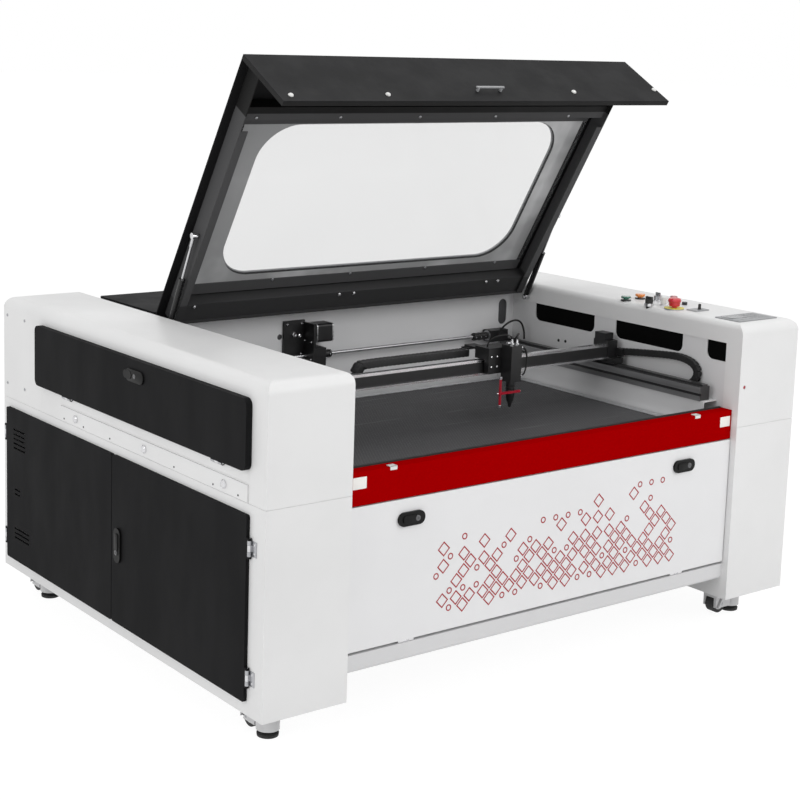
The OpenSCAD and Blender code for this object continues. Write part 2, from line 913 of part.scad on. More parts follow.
// Levelling caster, drawn about its pad; the wheel lies towards -X.
module caster_body() {
    color("dimgray") {
        difference() {
            union() {
                translate([-66, -34, 84]) cube([94, 68, 3]);
                translate([-30, 0, 80]) cylinder(r = 26, h = 9.6);
                translate([-62 - 26, -25, 22]) cube([64, 50, 62]);
                translate([0, 0, 40]) cylinder(r = 17, h = 44);
                translate([-26, -14, 46]) cube([20, 28, 38]);
            }
            translate([-62, 0, wheel_r + 3]) rotate([90, 0, 0])
                cylinder(r = wheel_r + 3, h = 31, center = true);
            translate([-62, 0, wheel_r + 3]) rotate([90, 0, 0])
                cylinder(r = 5 + fit, h = 60, center = true);
            translate([-62 - 40, -15.5, 10]) cube([80, 31, wheel_r - 7]);
            translate([-62 - 34, -40, 10]) rotate([0, 30, 0]) cube([12, 80, 60]);
        }
        // levelling foot with its hand wheel
        cylinder(r1 = 26, r2 = 27, h = 8);
        translate([0, 0, 8]) cylinder(r1 = 27, r2 = 12, h = 6);
        translate([0, 0, 12]) cylinder(r = 8, h = 30);
        translate([0, 0, 18]) cylinder(r = 30, h = 28);
    }
}

module caster_wheel() {
    color("black") translate([-62, 0, wheel_r + 3]) rotate([90, 0, 0]) {
        cylinder(r = wheel_r, h = 28, center = true);
        cylinder(r = 5, h = 46, center = true);
    }
}

// Places a caster; the left ones trail towards the back, the right ones to the left.
module at_corner(sx, sy) {
    translate([sx * pad_x, sy * pad_y, 0]) rotate([0, 0, sx < 0 ? -90 : 0]) children();
}

module caster_front_left() { at_corner(-1, -1) caster_body(); }
module caster_front_right() { at_corner(1, -1) caster_body(); }
module caster_rear_left() { at_corner(-1, 1) caster_body(); }
module caster_rear_right() { at_corner(1, 1) caster_body(); }
module wheel_front_left() { at_corner(-1, -1) caster_wheel(); }
module wheel_front_right() { at_corner(1, -1) caster_wheel(); }
module wheel_rear_left() { at_corner(-1, 1) caster_wheel(); }
module wheel_rear_right() { at_corner(1, 1) caster_wheel(); }

module housing_lower_left() { mirror([1, 0, 0]) housing_lower(); }
module housing_lower_right() { housing_lower(); }
// The right one has a hole under each control.
module housing_upper_right() {
    color("whitesmoke") difference() {
        housing_upper();
        for (at = [stop_at, green_at, orange_at, white_at, key_at, knob_at])
            translate([at[0], at[1], top_z - 20]) cylinder(r = stem_r + 1, h = 21);
        translate([toggle_at[0], toggle_at[1], top_z - 5]) linear_extrude(6)
            round_rect(16, 10, 2);
        // signal lamp in the front
        along_y(y_f - 1, y_f + 4) translate([x_in + 22, 734]) circle(5.6);
    }
}

// The left one also carries the strip between its doors.
module housing_upper_left() {
    mirror([1, 0, 0]) housing_upper();
    color("whitesmoke") block([-x_out - 4, -640, 619], [-x_out, 335, 661]);
}

module strut_body_left() { strut_body(-1); }
module strut_body_right() { strut_body(1); }
module strut_rod_left() { strut_rod(-1); }
module strut_rod_right() { strut_rod(1); }

housing_lower_left();
housing_lower_right();
housing_upper_left();
housing_upper_right();
chassis();
base_rail();
rear_body();
rear_services();
work_chamber();
front_band();
lid_seal();
y_rails();
gantry_drive();
drive_shaft();
gantry_beam();
gantry_rails();
x_drag_chain();
y_drag_chain();
carriage();
lens_tube();
focus_pen();
table_frame();
honeycomb();
lift_screws();
laser_tube();
power_supply();
lid();
lid_window();
strut_body_left();
strut_body_right();
strut_rod_left();
strut_rod_right();
door_upper_left();
door_front_left();
door_rear_left();
service_panels();
front_door();
rear_cover();
hinges();
window_covers();
latch_upper_left();
latch_lower_left();
latch_front_left();
latch_front_right();
control_panel();
button_green();
button_orange();
button_white();
emergency_stop();
key_switch();
selector_knob();
toggle_switch();
caster_front_left();
caster_front_right();
caster_rear_left();
caster_rear_right();
wheel_front_left();
wheel_front_right();
wheel_rear_left();
wheel_rear_right();
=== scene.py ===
"""Finishes and fine detail of a laser cutting machine with its lid open.

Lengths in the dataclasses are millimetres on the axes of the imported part: X to the
operator's right along the gantry, Y to the back, Z up from the floor.
"""

from __future__ import annotations

import json
import logging
import math
from dataclasses import dataclass, field
from enum import Enum
from typing import Any, Callable, Sequence

import bmesh
import bpy
import numpy as np
from mathutils import Matrix

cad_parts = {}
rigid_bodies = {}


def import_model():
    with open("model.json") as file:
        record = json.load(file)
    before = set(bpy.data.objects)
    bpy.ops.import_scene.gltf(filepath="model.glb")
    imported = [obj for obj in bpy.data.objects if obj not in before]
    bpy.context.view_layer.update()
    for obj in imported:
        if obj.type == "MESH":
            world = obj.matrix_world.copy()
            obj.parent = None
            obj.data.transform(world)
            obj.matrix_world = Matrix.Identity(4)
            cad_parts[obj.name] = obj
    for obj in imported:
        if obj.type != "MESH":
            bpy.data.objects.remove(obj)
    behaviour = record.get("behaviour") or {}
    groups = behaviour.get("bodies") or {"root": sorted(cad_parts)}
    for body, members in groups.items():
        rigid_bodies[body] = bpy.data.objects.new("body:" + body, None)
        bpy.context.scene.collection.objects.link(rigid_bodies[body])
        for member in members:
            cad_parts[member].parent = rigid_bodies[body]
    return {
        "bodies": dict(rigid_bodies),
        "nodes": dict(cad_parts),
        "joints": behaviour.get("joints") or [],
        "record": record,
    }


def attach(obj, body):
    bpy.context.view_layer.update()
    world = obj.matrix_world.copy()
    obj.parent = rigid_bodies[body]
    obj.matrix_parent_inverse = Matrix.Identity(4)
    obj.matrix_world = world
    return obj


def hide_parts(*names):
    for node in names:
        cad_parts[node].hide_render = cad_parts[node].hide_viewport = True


LOG = logging.getLogger("laser_cutter")
MM = 0.001  # metres in a millimetre
TIP = 0.02  # radius in millimetres at which a turned shape closes on its axis
Array = np.ndarray
Pair = tuple[float, float]
Spot = tuple[float, float, float]
Colour = Spot
Place = Sequence[float]
Outline = Sequence[Pair]


# ---------------------------------------------------------------- shader tools


def rays(tree: bpy.types.NodeTree) -> list[bpy.types.NodeSocket]:
    """The rays that show the white surroundings: straight, mirrored and through glass."""
    path = tree.nodes.new("ShaderNodeLightPath")
    return [path.outputs[f"Is {kind} Ray"] for kind in ("Camera", "Glossy", "Transmission")]


def tone(red: float, green: float, blue: float) -> Colour:
    """A paint chip's 0 to 255 values as the linear colour that renders as them."""
    chip = np.array([red, green, blue]) / 255.0
    linear = np.where(chip <= 0.04045, chip / 12.92, ((chip + 0.055) / 1.055) ** 2.4)
    return tuple(float(c) for c in linear)


def scaled(colour: Colour, factor: float) -> Colour:
    """The colour made darker, or brighter up to full."""
    return tuple(min(1.0, factor * c) for c in colour)


def operator(operation: str, reflected: bool = False) -> Callable[..., Term]:
    """A method of Term that adds one Math node, with the term last if it is reflected."""

    def method(term: Term, *others: Any) -> Term:
        return term.math(operation, *((*others, term) if reflected else (term, *others)))

    return method


class Term:
    """A number on its way through a finish, written as plain arithmetic."""

    def __init__(self, graph: Graph, socket: bpy.types.NodeSocket) -> None:
        """Wraps one output socket of a graph."""
        self.graph = graph
        self.socket = socket

    def math(self, operation: str, *values: Any) -> Term:
        """One Math node.

        Args:
            operation: The Math node's operation.
            values: Its inputs in order, terms or numbers.

        Returns:
            The node's result.
        """
        made = self.graph.node(
            "ShaderNodeMath", {"operation": operation}, dict(enumerate(values))
        )
        return Term(self.graph, made.outputs[0])

    __add__ = __radd__ = operator("ADD")
    __sub__ = operator("SUBTRACT")
    __rsub__ = operator("SUBTRACT", reflected=True)
    __mul__ = __rmul__ = operator("MULTIPLY")
    __truediv__ = operator("DIVIDE")
    __abs__ = operator("ABSOLUTE")
    part = operator("FRACT")
    most = operator("MAXIMUM")
    least = operator("MINIMUM")

    def ramp(self, low: float, high: float, start: float = 0.0, end: float = 1.0) -> Term:
        """A smooth step between two levels.

        Args:
            low: Value at which the step begins.
            high: Value at which it ends.
            start: Result before the step.
            end: Result after it.

        Returns:
            The stepped value.
        """
        made = self.graph.node(
            "ShaderNodeMapRange",
            {"interpolation_type": "SMOOTHSTEP"},
            {0: self, 1: low, 2: high, 3: start, 4: end},
        )
        return Term(self.graph, made.outputs[0])


class Graph:
    """The node tree of one finish."""

    def __init__(self, name: str) -> None:
        """Starts an empty material of that name."""
        self.material = bpy.data.materials.new(name)
        self.material.use_nodes = True
        self.tree = self.material.node_tree
        self.tree.nodes.clear()
        self._place: bpy.types.NodeSocket | None = None

    def node(
        self,
        kind: str,
        settings: dict[str, Any] | None = None,
        values: dict[Any, Any] | None = None,
    ) -> bpy.types.Node:
        """Adds any node.

        Args:
            kind: The node's type.
            settings: Its own properties, set first.
            values: Inputs by name or number, as terms, sockets, numbers or colours.

        Returns:
            The new node.
        """
        made = self.tree.nodes.new(kind)
        for key, value in (settings or {}).items():
            setattr(made, key, value)
        for key, value in (values or {}).items():
            socket = made.inputs[key]
            if isinstance(value, Term):
                self.tree.links.new(value.socket, socket)
            elif isinstance(value, bpy.types.NodeSocket):
                self.tree.links.new(value, socket)
            elif isinstance(value, tuple) and socket.type == "RGBA":
                socket.default_value = (*value, 1.0)[:4]
            else:
                socket.default_value = value
        return made

    def place(self) -> bpy.types.NodeSocket:
        """The point's place on the machine, in metres."""
        if self._place is None:
            self._place = self.node("ShaderNodeTexCoord").outputs["Object"]
        return self._place

    def axes(self) -> tuple[Term, Term, Term]:
        """The place's three numbers."""
        split = self.node("ShaderNodeSeparateXYZ", None, {0: self.place()})
        return tuple(Term(self, s) for s in split.outputs)

    def grain(
        self,
        scale: float,
        detail: float = 3.0,
        rough: float = 0.55,
        stretch: Spot = (1.0, 1.0, 1.0),
    ) -> Term:
        """Soft random variation from 0 to 1.

        Args:
            scale: Patches per metre.
            detail: Octaves.
            rough: Weight of the finer octaves.
            stretch: Scale factors along X, Y and Z.

        Returns:
            The variation.
        """
        spot = self.node(
            "ShaderNodeVectorMath",
            {"operation": "MULTIPLY"},
            {0: self.place(), 1: stretch},
        ).outputs[0]
        made = self.node(
            "ShaderNodeTexNoise",
            None,
            {"Vector": spot, "Scale": scale, "Detail": detail, "Roughness": rough},
        )
        return Term(self, made.outputs[0])

    def blend(self, first: Any, second: Any, factor: Any) -> bpy.types.NodeSocket:
        """Mixes two colours.

        Args:
            first: Colour at factor 0.
            second: Colour at factor 1.
            factor: Term or number.

        Returns:
            The colour socket.
        """
        made = self.node("ShaderNodeMix", {"data_type": "RGBA"}, {0: factor, 6: first, 7: second})
        return made.outputs[2]

    def relief(self, height: Term, depth: float, strength: float = 1.0) -> bpy.types.NodeSocket:
        """Bumps the surface.

        Args:
            height: Height from 0 to 1.
            depth: Height of 1 in metres.
            strength: How much of it shows.

        Returns:
            The normal.
        """
        made = self.node(
            "ShaderNodeBump", None, {"Height": height, "Distance": depth, "Strength": strength}
        )
        return made.outputs[0]

    def surface(self, **values: Any) -> bpy.types.Material:
        """Ends the finish with one surface shader.

        Args:
            values: The shader's inputs, with spaces written as underscores.

        Returns:
            The finished material.
        """
        named = {key.replace("_", " "): value for key, value in values.items()}
        shader = self.node("ShaderNodeBsdfPrincipled", None, named)
        end = self.node("ShaderNodeOutputMaterial")
        self.tree.links.new(shader.outputs[0], end.inputs[0])
        return self.material


# -------------------------------------------------------------------- finishes


@dataclass(frozen=True)
class Finish:
    """A surface finish with a name and its main colour."""

    name: str
    colour: Colour

    def material(self) -> bpy.types.Material:
        """The material, made once and then shared."""
        return bpy.data.materials.get(self.name) or self.make(Graph(self.name))

    def make(self, graph: Graph) -> bpy.types.Material:
        """Fills the graph."""
        raise NotImplementedError


@dataclass(frozen=True)
class PowderCoat(Finish):
    """Powder-coated sheet steel: fine orange peel and a trace of dust and handling."""

    roughness: float = 0.42
    peel: float = 0.00005
    variation: float = 0.05
    gloss: float = 0.45

    def colours(self, graph: Graph) -> bpy.types.NodeSocket:
        """The coat's colour with slow patches and fine specks."""
        patches = graph.grain(3.1, 3.0).ramp(0.3, 0.75)
        specks = graph.grain(900.0, 1.0).ramp(0.6, 0.8)
        shade = scaled(self.colour, 1.0 - self.variation)
        fleck = scaled(self.colour, 1.0 - 1.6 * self.variation)
        return graph.blend(graph.blend(self.colour, shade, patches), fleck, specks * 0.5)

    def make(self, graph: Graph) -> bpy.types.Material:
        """Colour with slow patches and specks over an orange-peel relief."""
        peel = graph.grain(520.0, 2.0, 0.5)
        wipe = graph.grain(9.0, 4.0, 0.6, (1.0, 1.0, 0.35))
        return graph.surface(
            Base_Color=self.colours(graph),
            Roughness=wipe.ramp(0.3, 0.7, self.roughness - 0.05, self.roughness + 0.06),
            Specular_IOR_Level=self.gloss,
            Normal=graph.relief(peel, self.peel, 0.6),
        )


@dataclass(frozen=True)
class LidCoat(PowderCoat):
    """The lid's coat, with painted bounce light and painted shade on its inner faces, which are
    paler than the outer ones.
    """

    # Colours of the inner faces: inner is painted bounce light, paler than the outer coat; hollow
    # is painted shade at the front under the visor; rear is painted shade towards the hinge.
    inner: Colour = (0.075, 0.075, 0.077)
    hollow: Colour = (0.014, 0.014, 0.014)
    rear: Colour = (0.042, 0.042, 0.043)
    hinge: Pair = (0.232, 0.896)
    opening: float = 59.5
    front: float = -0.6388
    under: float = 0.9163
    # Depths over which the painted shade at the front and at the rear fades in.
    front_shade_span: Pair = (-0.4865, -0.4885)
    back: Pair = (0.150, 0.154)
    soft: float = 0.0003

    def colours(self, graph: Graph) -> bpy.types.NodeSocket:
        """The colour, with painted bounce light and painted shade: paler behind the visor and under
        the top sheet, darker at the front under the visor and towards the hinge.

        The point is turned back to the closed lid: with a the opening angle and (y, z) measured
        from the hinge, depth is y cos a - z sin a and height is y sin a + z cos a.
        """
        _, y, z = graph.axes()
        turn = math.radians(self.opening)
        y, z = y - self.hinge[0], z - self.hinge[1]
        depth = y * math.cos(turn) - z * math.sin(turn) + self.hinge[0]
        height = y * math.sin(turn) + z * math.cos(turn) + self.hinge[1]
        behind = depth.ramp(self.front - self.soft, self.front + self.soft)
        below = height.ramp(self.under + self.soft, self.under - self.soft)
        # Painted shade on the inner faces: darker at the front under the visor, and again towards
        # the hinge.
        inner = graph.blend(self.inner, self.hollow, depth.ramp(*self.front_shade_span))
        inner = graph.blend(inner, self.rear, depth.ramp(*self.back))
        # Painted bounce light: the inner faces take the painted inner colour instead of the outer
        # coat.
        return graph.blend(super().colours(graph), inner, behind * below)


@dataclass(frozen=True)
class Metal(Finish):
    """Bare or plated metal, drawn or ground along one direction."""

    roughness: float = 0.28
    along: Spot = (1.0, 1.0, 1.0)
    scratch: float = 0.00002

    def make(self, graph: Graph) -> bpy.types.Material:
        """Fine lines along the drawing direction in roughness and relief."""
        lines = graph.grain(700.0, 3.0, 0.6, self.along)
        cloud = graph.grain(14.0, 3.0)
        dull = scaled(self.colour, 0.82)
        return graph.surface(
            Base_Color=graph.blend(self.colour, dull, cloud.ramp(0.4, 0.8)),
            Metallic=1.0,
            Roughness=lines.ramp(0.3, 0.7, self.roughness * 0.8, self.roughness * 1.25),
            Normal=graph.relief(lines, self.scratch, 0.5),
        )


@dataclass(frozen=True)
class Moulded(Finish):
    """Injection-moulded plastic or rubber with a fine spark texture."""

    roughness: float = 0.45
    texture: float = 0.00004
    coat: float = 0.0

    def make(self, graph: Graph) -> bpy.types.Material:
        """Even colour, spark-eroded texture and slightly uneven gloss."""
        spark = graph.grain(1500.0, 2.0)
        cloud = graph.grain(30.0, 2.0)
        shade = scaled(self.colour, 0.88)
        return graph.surface(
            Base_Color=graph.blend(self.colour, shade, cloud.ramp(0.35, 0.8)),
            Roughness=cloud.ramp(0.3, 0.7, self.roughness - 0.04, self.roughness + 0.06),
            Coat_Weight=self.coat,
            Coat_Roughness=0.08,
            Normal=graph.relief(spark, self.texture, 0.5),
        )


@dataclass(frozen=True)
class Clear(Finish):
    """Clear sheet or glass, seen mostly by its gloss."""

    opacity: float = 0.12
    roughness: float = 0.06

    def make(self, graph: Graph) -> bpy.types.Material:
        """A faint film of wiping marks over a nearly invisible sheet."""
        wipe = graph.grain(2.0, 2.0, 0.5, (1.0, 0.4, 1.0))
        return graph.surface(
            Base_Color=self.colour,
            Roughness=self.roughness,
            Alpha=wipe.ramp(0.3, 0.75, self.opacity, self.opacity + 0.008),
            IOR=1.49,
        )


@dataclass(frozen=True)
class RailFinish(Finish):
    """Dark rails whose inner sides are bare drawn metal with long streaks."""

    roughness: float = 0.35
    bare: Colour = (0.46, 0.46, 0.47)
    face: float = 0.6402
    crest: float = 0.7243

    def make(self, graph: Graph) -> bpy.types.Material:
        """Bare metal on the faces turned to the bed, dark coat elsewhere."""
        x, _, z = graph.axes()
        inside = abs(x).ramp(self.face + 0.0003, self.face)
        inside = inside * z.ramp(self.crest, self.crest - 0.0004)
        streaks = graph.grain(46.0, 3.0, 0.6, (1.0, 0.04, 1.0)).ramp(0.3, 0.7)
        bare = graph.blend(scaled(self.bare, 0.55), self.bare, streaks)
        return graph.surface(
            Base_Color=graph.blend(self.colour, bare, inside),
            Metallic=inside * 0.85,
            Roughness=self.roughness,
        )


@dataclass(frozen=True)
class ReflectionGlaze(Finish):
    """Painted reflection on the border of a clear sheet: glossy grey with soft clouds, standing in
    for light reflected in the sheet.
    """

    roughness: float = 0.18

    def make(self, graph: Graph) -> bpy.types.Material:
        """Painted reflection: slow cloudy patches of the full grey over a darker grey, under a
        gloss coat.
        """
        cloud = graph.grain(4.2, 3.0, 0.55, (1.0, 0.6, 1.0)).ramp(0.42, 0.68)
        # The darker grey under the painted reflection's clouds.
        shade = scaled(self.colour, 0.60)
        return graph.surface(
            Base_Color=graph.blend(shade, self.colour, cloud),
            Roughness=self.roughness,
            Coat_Weight=0.3,
        )


@dataclass(frozen=True)
class Comb(Finish):
    """Honeycomb of thin aluminium foil, darkened by use, with painted shade inside its cells."""

    pitch: float = 0.0095

    def make(self, graph: Graph) -> bpy.types.Material:
        """Two shifted grids of cells: the nearer cell centre gives the wall's distance."""
        x, y, _z = graph.axes()
        row = self.pitch * math.sqrt(3.0)
        walls = None
        for shift in (0.0, 0.5):
            across = abs((x / self.pitch + shift).part() - 0.5) * self.pitch
            along = abs((y / row + shift).part() - 0.5) * row
            slant = across * 0.5 + along * (math.sqrt(3.0) / 2.0)
            reach = across.most(slant)
            walls = reach if walls is None else walls.least(reach)
        foil = walls.ramp(self.pitch * 0.36, self.pitch * 0.47)
        soot = graph.grain(6.0, 5.0, 0.6, (0.35, 1.6, 1.0))
        streaks = graph.grain(55.0, 3.0, 0.6, (0.06, 1.0, 1.0)).ramp(0.60, 0.72)
        # A darker colour that serves both as painted shade inside the cells and as soot.
        cell_shade_and_soot = scaled(self.colour, 0.42)
        lit = scaled(self.colour, 1.5)
        # Painted shade: the cell centres take the darker colour, the foil walls the full one.
        base = graph.blend(cell_shade_and_soot, self.colour, foil)
        base = graph.blend(base, cell_shade_and_soot, soot.ramp(0.45, 0.8) * 0.35)
        return graph.surface(
            Base_Color=graph.blend(base, lit, streaks * 0.45),
            Roughness=0.55,
            Specular_IOR_Level=0.3,
            Normal=graph.relief(foil, 0.002, 0.7),
        )


# --------------------------------------------------------------------- surfaces


class Axis(Enum):
    """The direction in which a turned or raised shape stands."""

    X = (1.0, 0.0, 0.0)
    Y = (0.0, 1.0, 0.0)
    Z = (0.0, 0.0, 1.0)
    LEFT = (-1.0, 0.0, 0.0)
    FRONT = (0.0, -1.0, 0.0)
    DOWN = (0.0, 0.0, -1.0)

    def frame(self) -> Array:
        """Three rows: the shape's own X, Y and Z on the machine's axes."""
        up = np.array(self.value)
        side = np.array([1.0, 0.0, 0.0]) if abs(up[0]) < 0.5 else np.array([0.0, 1.0, 0.0])
        return np.array([side, np.cross(up, side), up])


@dataclass
class Skin:
    """A surface as plain arrays: points in millimetres, and faces as rows of indices."""

    points: Array
    faces: list[Array]

    def at(self, place: Place, axis: Axis = Axis.Z) -> Skin:
        """The shell stood on a place, with its own Z along an axis."""
        return Skin(self.points @ axis.frame() + np.array(place, float), self.faces)

    def turned(self, matrix: Array, about: Place = (0, 0, 0)) -> Skin:
        """The shell turned by a 3 by 3 matrix about a point."""
        pivot = np.array(about, float)
        return Skin((self.points - pivot) @ matrix.T + pivot, self.faces)

    def copies(self, points: Array) -> Skin:
        """The shell once for each row of points, which holds a copy's points in order."""
        starts = (np.arange(len(points)) * points.shape[1])[:, None, None]
        faces = [(f[None] + starts).reshape(-1, f.shape[1]) for f in self.faces]
        return Skin(points.reshape(-1, 3), faces)

    @staticmethod
    def joined(shells: Sequence[Skin]) -> Skin:
        """Several shells as one."""
        starts = np.cumsum([0] + [len(s.points) for s in shells[:-1]])
        faces = [f + start for s, start in zip(shells, starts) for f in s.faces]
        return Skin(np.concatenate([s.points for s in shells]), faces)

    def repeated(self, places: Any, axis: Axis = Axis.Z) -> Skin:
        """One copy of the shell at each place: every copy is one broadcast sum."""
        places = np.atleast_2d(np.array(places, float))
        return self.copies((self.points @ axis.frame())[None] + places[:, None])


def spin(degrees: float) -> Array:
    """The matrix that turns by an angle about X."""
    c, s = math.cos(math.radians(degrees)), math.sin(math.radians(degrees))
    return np.array([[1.0, 0.0, 0.0], [0.0, c, -s], [0.0, s, c]])


def skin(rings: Array, loop: bool = False) -> Skin:
    """Joins rings of points into a surface.

    Point (i, j) is joined to (i + 1, j) and (i, j + 1), and the last column to the first.

    Args:
        rings: Points, shaped rings by points by 3.
        loop: Joins the last ring to the first, instead of closing both with one face each.

    Returns:
        The surface.
    """
    rows, columns = rings.shape[:2]
    index = np.arange(rows * columns).reshape(rows, columns)
    lower = index if loop else index[:-1]
    upper = np.roll(index, -1, axis=0) if loop else index[1:]
    quads = np.stack(
        [lower, np.roll(lower, -1, axis=1), np.roll(upper, -1, axis=1), upper], axis=-1
    ).reshape(-1, 4)
    faces = [quads]
    if not loop:
        faces += [index[0][::-1][None], index[-1][None]]
    return Skin(rings.reshape(-1, 3), faces)


def lathe(profile: Outline, sides: int = 24) -> Skin:
    """Turns a profile about Z: the point at angle t is (r cos t, r sin t, z).

    Args:
        profile: Pairs of radius and height, from the foot to the top.
        sides: Points around.

    Returns:
        The closed solid.
    """
    shape = np.array(profile, float)
    turn = np.linspace(0, 2 * math.pi, sides, endpoint=False)
    rings = np.stack(
        [
            shape[:, :1] * np.cos(turn),
            shape[:, :1] * np.sin(turn),
            np.repeat(shape[:, 1:], sides, axis=1),
        ],
        axis=-1,
    )
    return skin(rings)


def rounded(width: float, depth: float, radius: float, steps: int = 6) -> Array:
    """The outline of a rectangle with round corners, as points on four quarter circles."""
    radius = max(1e-3, min(radius, width / 2, depth / 2))
    turn = np.concatenate([np.linspace(0, math.pi / 2, steps) + k * math.pi / 2 for k in range(4)])
    side = np.repeat(np.array([[1, 1], [-1, 1], [-1, -1], [1, -1]], float), steps, axis=0)
    centre = side * np.array([width / 2 - radius, depth / 2 - radius])
    return centre + radius * np.stack([np.cos(turn), np.sin(turn)], axis=1)


def level(line: Array, z: float) -> Array:
    """A flat outline set at a height."""
    return np.column_stack([line, np.full(len(line), z)])


def pad(
    width: float, depth: float, height: float, radius: float, edge: float = 0.5, steps: int = 6
) -> Skin:
    """A rounded plate on z = 0: its outline, drawn in by the edge at the foot and the top.

    Args:
        width: Size along X.
        depth: Size along Y.
        height: Size along Z.
        radius: Radius of the upright corners.
        edge: Chamfer of the rims.
        steps: Points on each corner.

    Returns:
        The closed solid.
    """
    edge = min(edge, height / 2.01, radius * 0.9 if radius > edge else edge)
    bevel = edge * 0.3
    levels = [(edge, 0.0), (0.0, edge), (0.0, height - edge)]
    levels += [(bevel, height - bevel), (edge, height)]
    rings = [
        level(rounded(width - 2 * inset, depth - 2 * inset, radius - inset, steps), z)
        for inset, z in levels
    ]
    return skin(np.array(rings))


def brick(low: Place, high: Place, radius: float = 1.0, edge: float = 0.5) -> Skin:
    """A rounded plate between two opposite corners."""
    low, high = np.array(low, float), np.array(high, float)
    size = high - low
    middle = (low + high) / 2
    return pad(size[0], size[1], size[2], radius, edge, 3).at((middle[0], middle[1], low[2]))


def curve(points: Sequence[Place], count: int) -> Array:
    """A smooth line through points: cubic pieces, each knot's slope half its neighbours' gap.

    Args:
        points: Points to pass through.
        count: Points on the result.

    Returns:
        The line.
    """
    knots = np.array(points, float)
    slopes = np.gradient(knots, axis=0)
    spot = np.linspace(0, len(knots) - 1, count)
    first = np.minimum(spot.astype(int), len(knots) - 2)
    t = (spot - first)[:, None]
    a, b, da, db = knots[first], knots[first + 1], slopes[first], slopes[first + 1]
    return (
        (2 * t**3 - 3 * t**2 + 1) * a
        + (t**3 - 2 * t**2 + t) * da
        + (3 * t**2 - 2 * t**3) * b
        + (t**3 - t**2) * db
    )


def hose(path: Array, radius: float, sides: int, side: Place) -> Skin:
    """A round tube along a line: at each point a circle square to the line's slope.

    Args:
        path: Points along the middle.
        radius: The tube's radius.
        sides: Points around.
        side: A direction that the line never runs along.

    Returns:
        The closed solid.
    """
    slope = np.gradient(path, axis=0)
    slope /= np.linalg.norm(slope, axis=1, keepdims=True)
    first = np.cross(slope, np.array(side, float))
    first /= np.linalg.norm(first, axis=1, keepdims=True)
    second = np.cross(slope, first)
    turn = np.linspace(0, 2 * math.pi, sides, endpoint=False)
    cos, sin = np.cos(turn)[None, :, None], np.sin(turn)[None, :, None]
    return skin(path[:, None] + radius * (cos * first[:, None] + sin * second[:, None]))


def hollow(outer: Array, inner: Array, height: float) -> Skin:
    """A flat ring between two outlines with the same number of points, standing on z = 0."""
    corners = ((inner, 0.0), (outer, 0.0), (outer, height), (inner, height))
    return skin(np.array([level(line, z) for line, z in corners]), loop=True)


# ----------------------------------------------------------------------- pieces


@dataclass
class Maker:
    """Turns shells into pieces of the model and hands out finishes."""

    frame: dict[str, Any]
    made: list[str] = field(default_factory=list)

    def piece(
        self,
        name: str,
        shell: Skin | Sequence[Skin],
        finish: Finish,
        body: str,
        sharp: float = 35.0,
    ) -> bpy.types.Object:
        """Makes one piece and lets it ride on a body.

        Args:
            name: The piece's name.
            shell: Its surface, or the surfaces it is joined from, in millimetres.
            finish: Its finish.
            body: The body that it moves with.
            sharp: Angle in degrees above which an edge stays crisp.

        Returns:
            The object, at the origin.
        """
        shell = shell if isinstance(shell, Skin) else Skin.joined(shell)
        mesh = bpy.data.meshes.new(name)
        faces = [tuple(row) for block in shell.faces for row in block.tolist()]
        mesh.from_pydata((shell.points * MM).tolist(), [], faces)
        bare = bmesh.new()
        bare.from_mesh(mesh)
        bmesh.ops.remove_doubles(bare, verts=bare.verts, dist=2e-6)
        bmesh.ops.recalc_face_normals(bare, faces=bare.faces)
        bare.to_mesh(mesh)
        bare.free()
        mesh.polygons.foreach_set("use_smooth", np.ones(len(mesh.polygons), bool))
        mesh.set_sharp_from_angle(angle=math.radians(sharp))
        mesh.materials.append(finish.material())
        made = bpy.data.objects.new(name, mesh)
        bpy.context.scene.collection.objects.link(made)
        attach(made, body)
        self.made.append(name)
        LOG.info("%s: %d faces on %s", name, len(mesh.polygons), body)
        return made

    def cord(
        self, name: str, path: Array, radius: float, sides: int, side: Place, body: str
    ) -> None:
        """Makes one rubber cord along a path, with both of its ends in other pieces.

        Args:
            name: The cord's name.
            path: Points along its middle, in millimetres.
            radius: Its radius.
            sides: Points around.
            side: A direction that the path never runs along.
            body: The body that it moves with.
        """
        made = self.piece(name, hose(path, radius, sides, side), RUBBER, body)

    def dress(self, finish: Finish, *nodes: str) -> None:
        """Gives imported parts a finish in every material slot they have."""
        for name in nodes:
            part = self.frame["nodes"][name]
            if not part.material_slots:
                part.data.materials.append(finish.material())
            for place in part.material_slots:
                place.material = finish.material()
            LOG.info("%s: %s", name, finish.name)


# -------------------------------------------------------------------- the paints

WHITE = PowderCoat("white_coat", tone(228, 228, 228), 0.40)
BRIGHT = PowderCoat("bright_coat", tone(228, 228, 229), 0.42, variation=0.03)
PLINTH = PowderCoat("plinth_coat", tone(212, 212, 213), 0.42, variation=0.03)
DARK = PowderCoat("dark_coat", tone(28, 28, 29), 0.62, 0.00009, 0.10, 0.05)
# The lid's coat: its inner faces carry painted bounce light and painted shade.
LID_DARK = LidCoat("lid_coat_painted_light", tone(27, 27, 28), 0.6, 0.00007, 0.08, 0.12)
INNER = PowderCoat("inner_coat", tone(222, 222, 223), 0.45)
REAR = PowderCoat("rear_coat", tone(210, 210, 210), 0.45)
RED = PowderCoat("red_coat", tone(158, 0, 2), 0.6, variation=0.03, gloss=0.0)
GRAPHIC = PowderCoat("graphic_ink", tone(158, 6, 24), 0.5, 0.00001)
TAG = PowderCoat("tag_film", tone(238, 236, 232), 0.5, 0.00001)
CASTER = PowderCoat("caster_coat", tone(206, 206, 207), 0.45)
SUPPLY = PowderCoat("supply_coat", tone(150, 151, 154), 0.45)
SHAFT = Metal("shaft_steel", tone(206, 206, 208), 0.2, (0.02, 1.0, 1.0))
CHROME = Metal("chrome_plate", tone(214, 214, 216), 0.13)
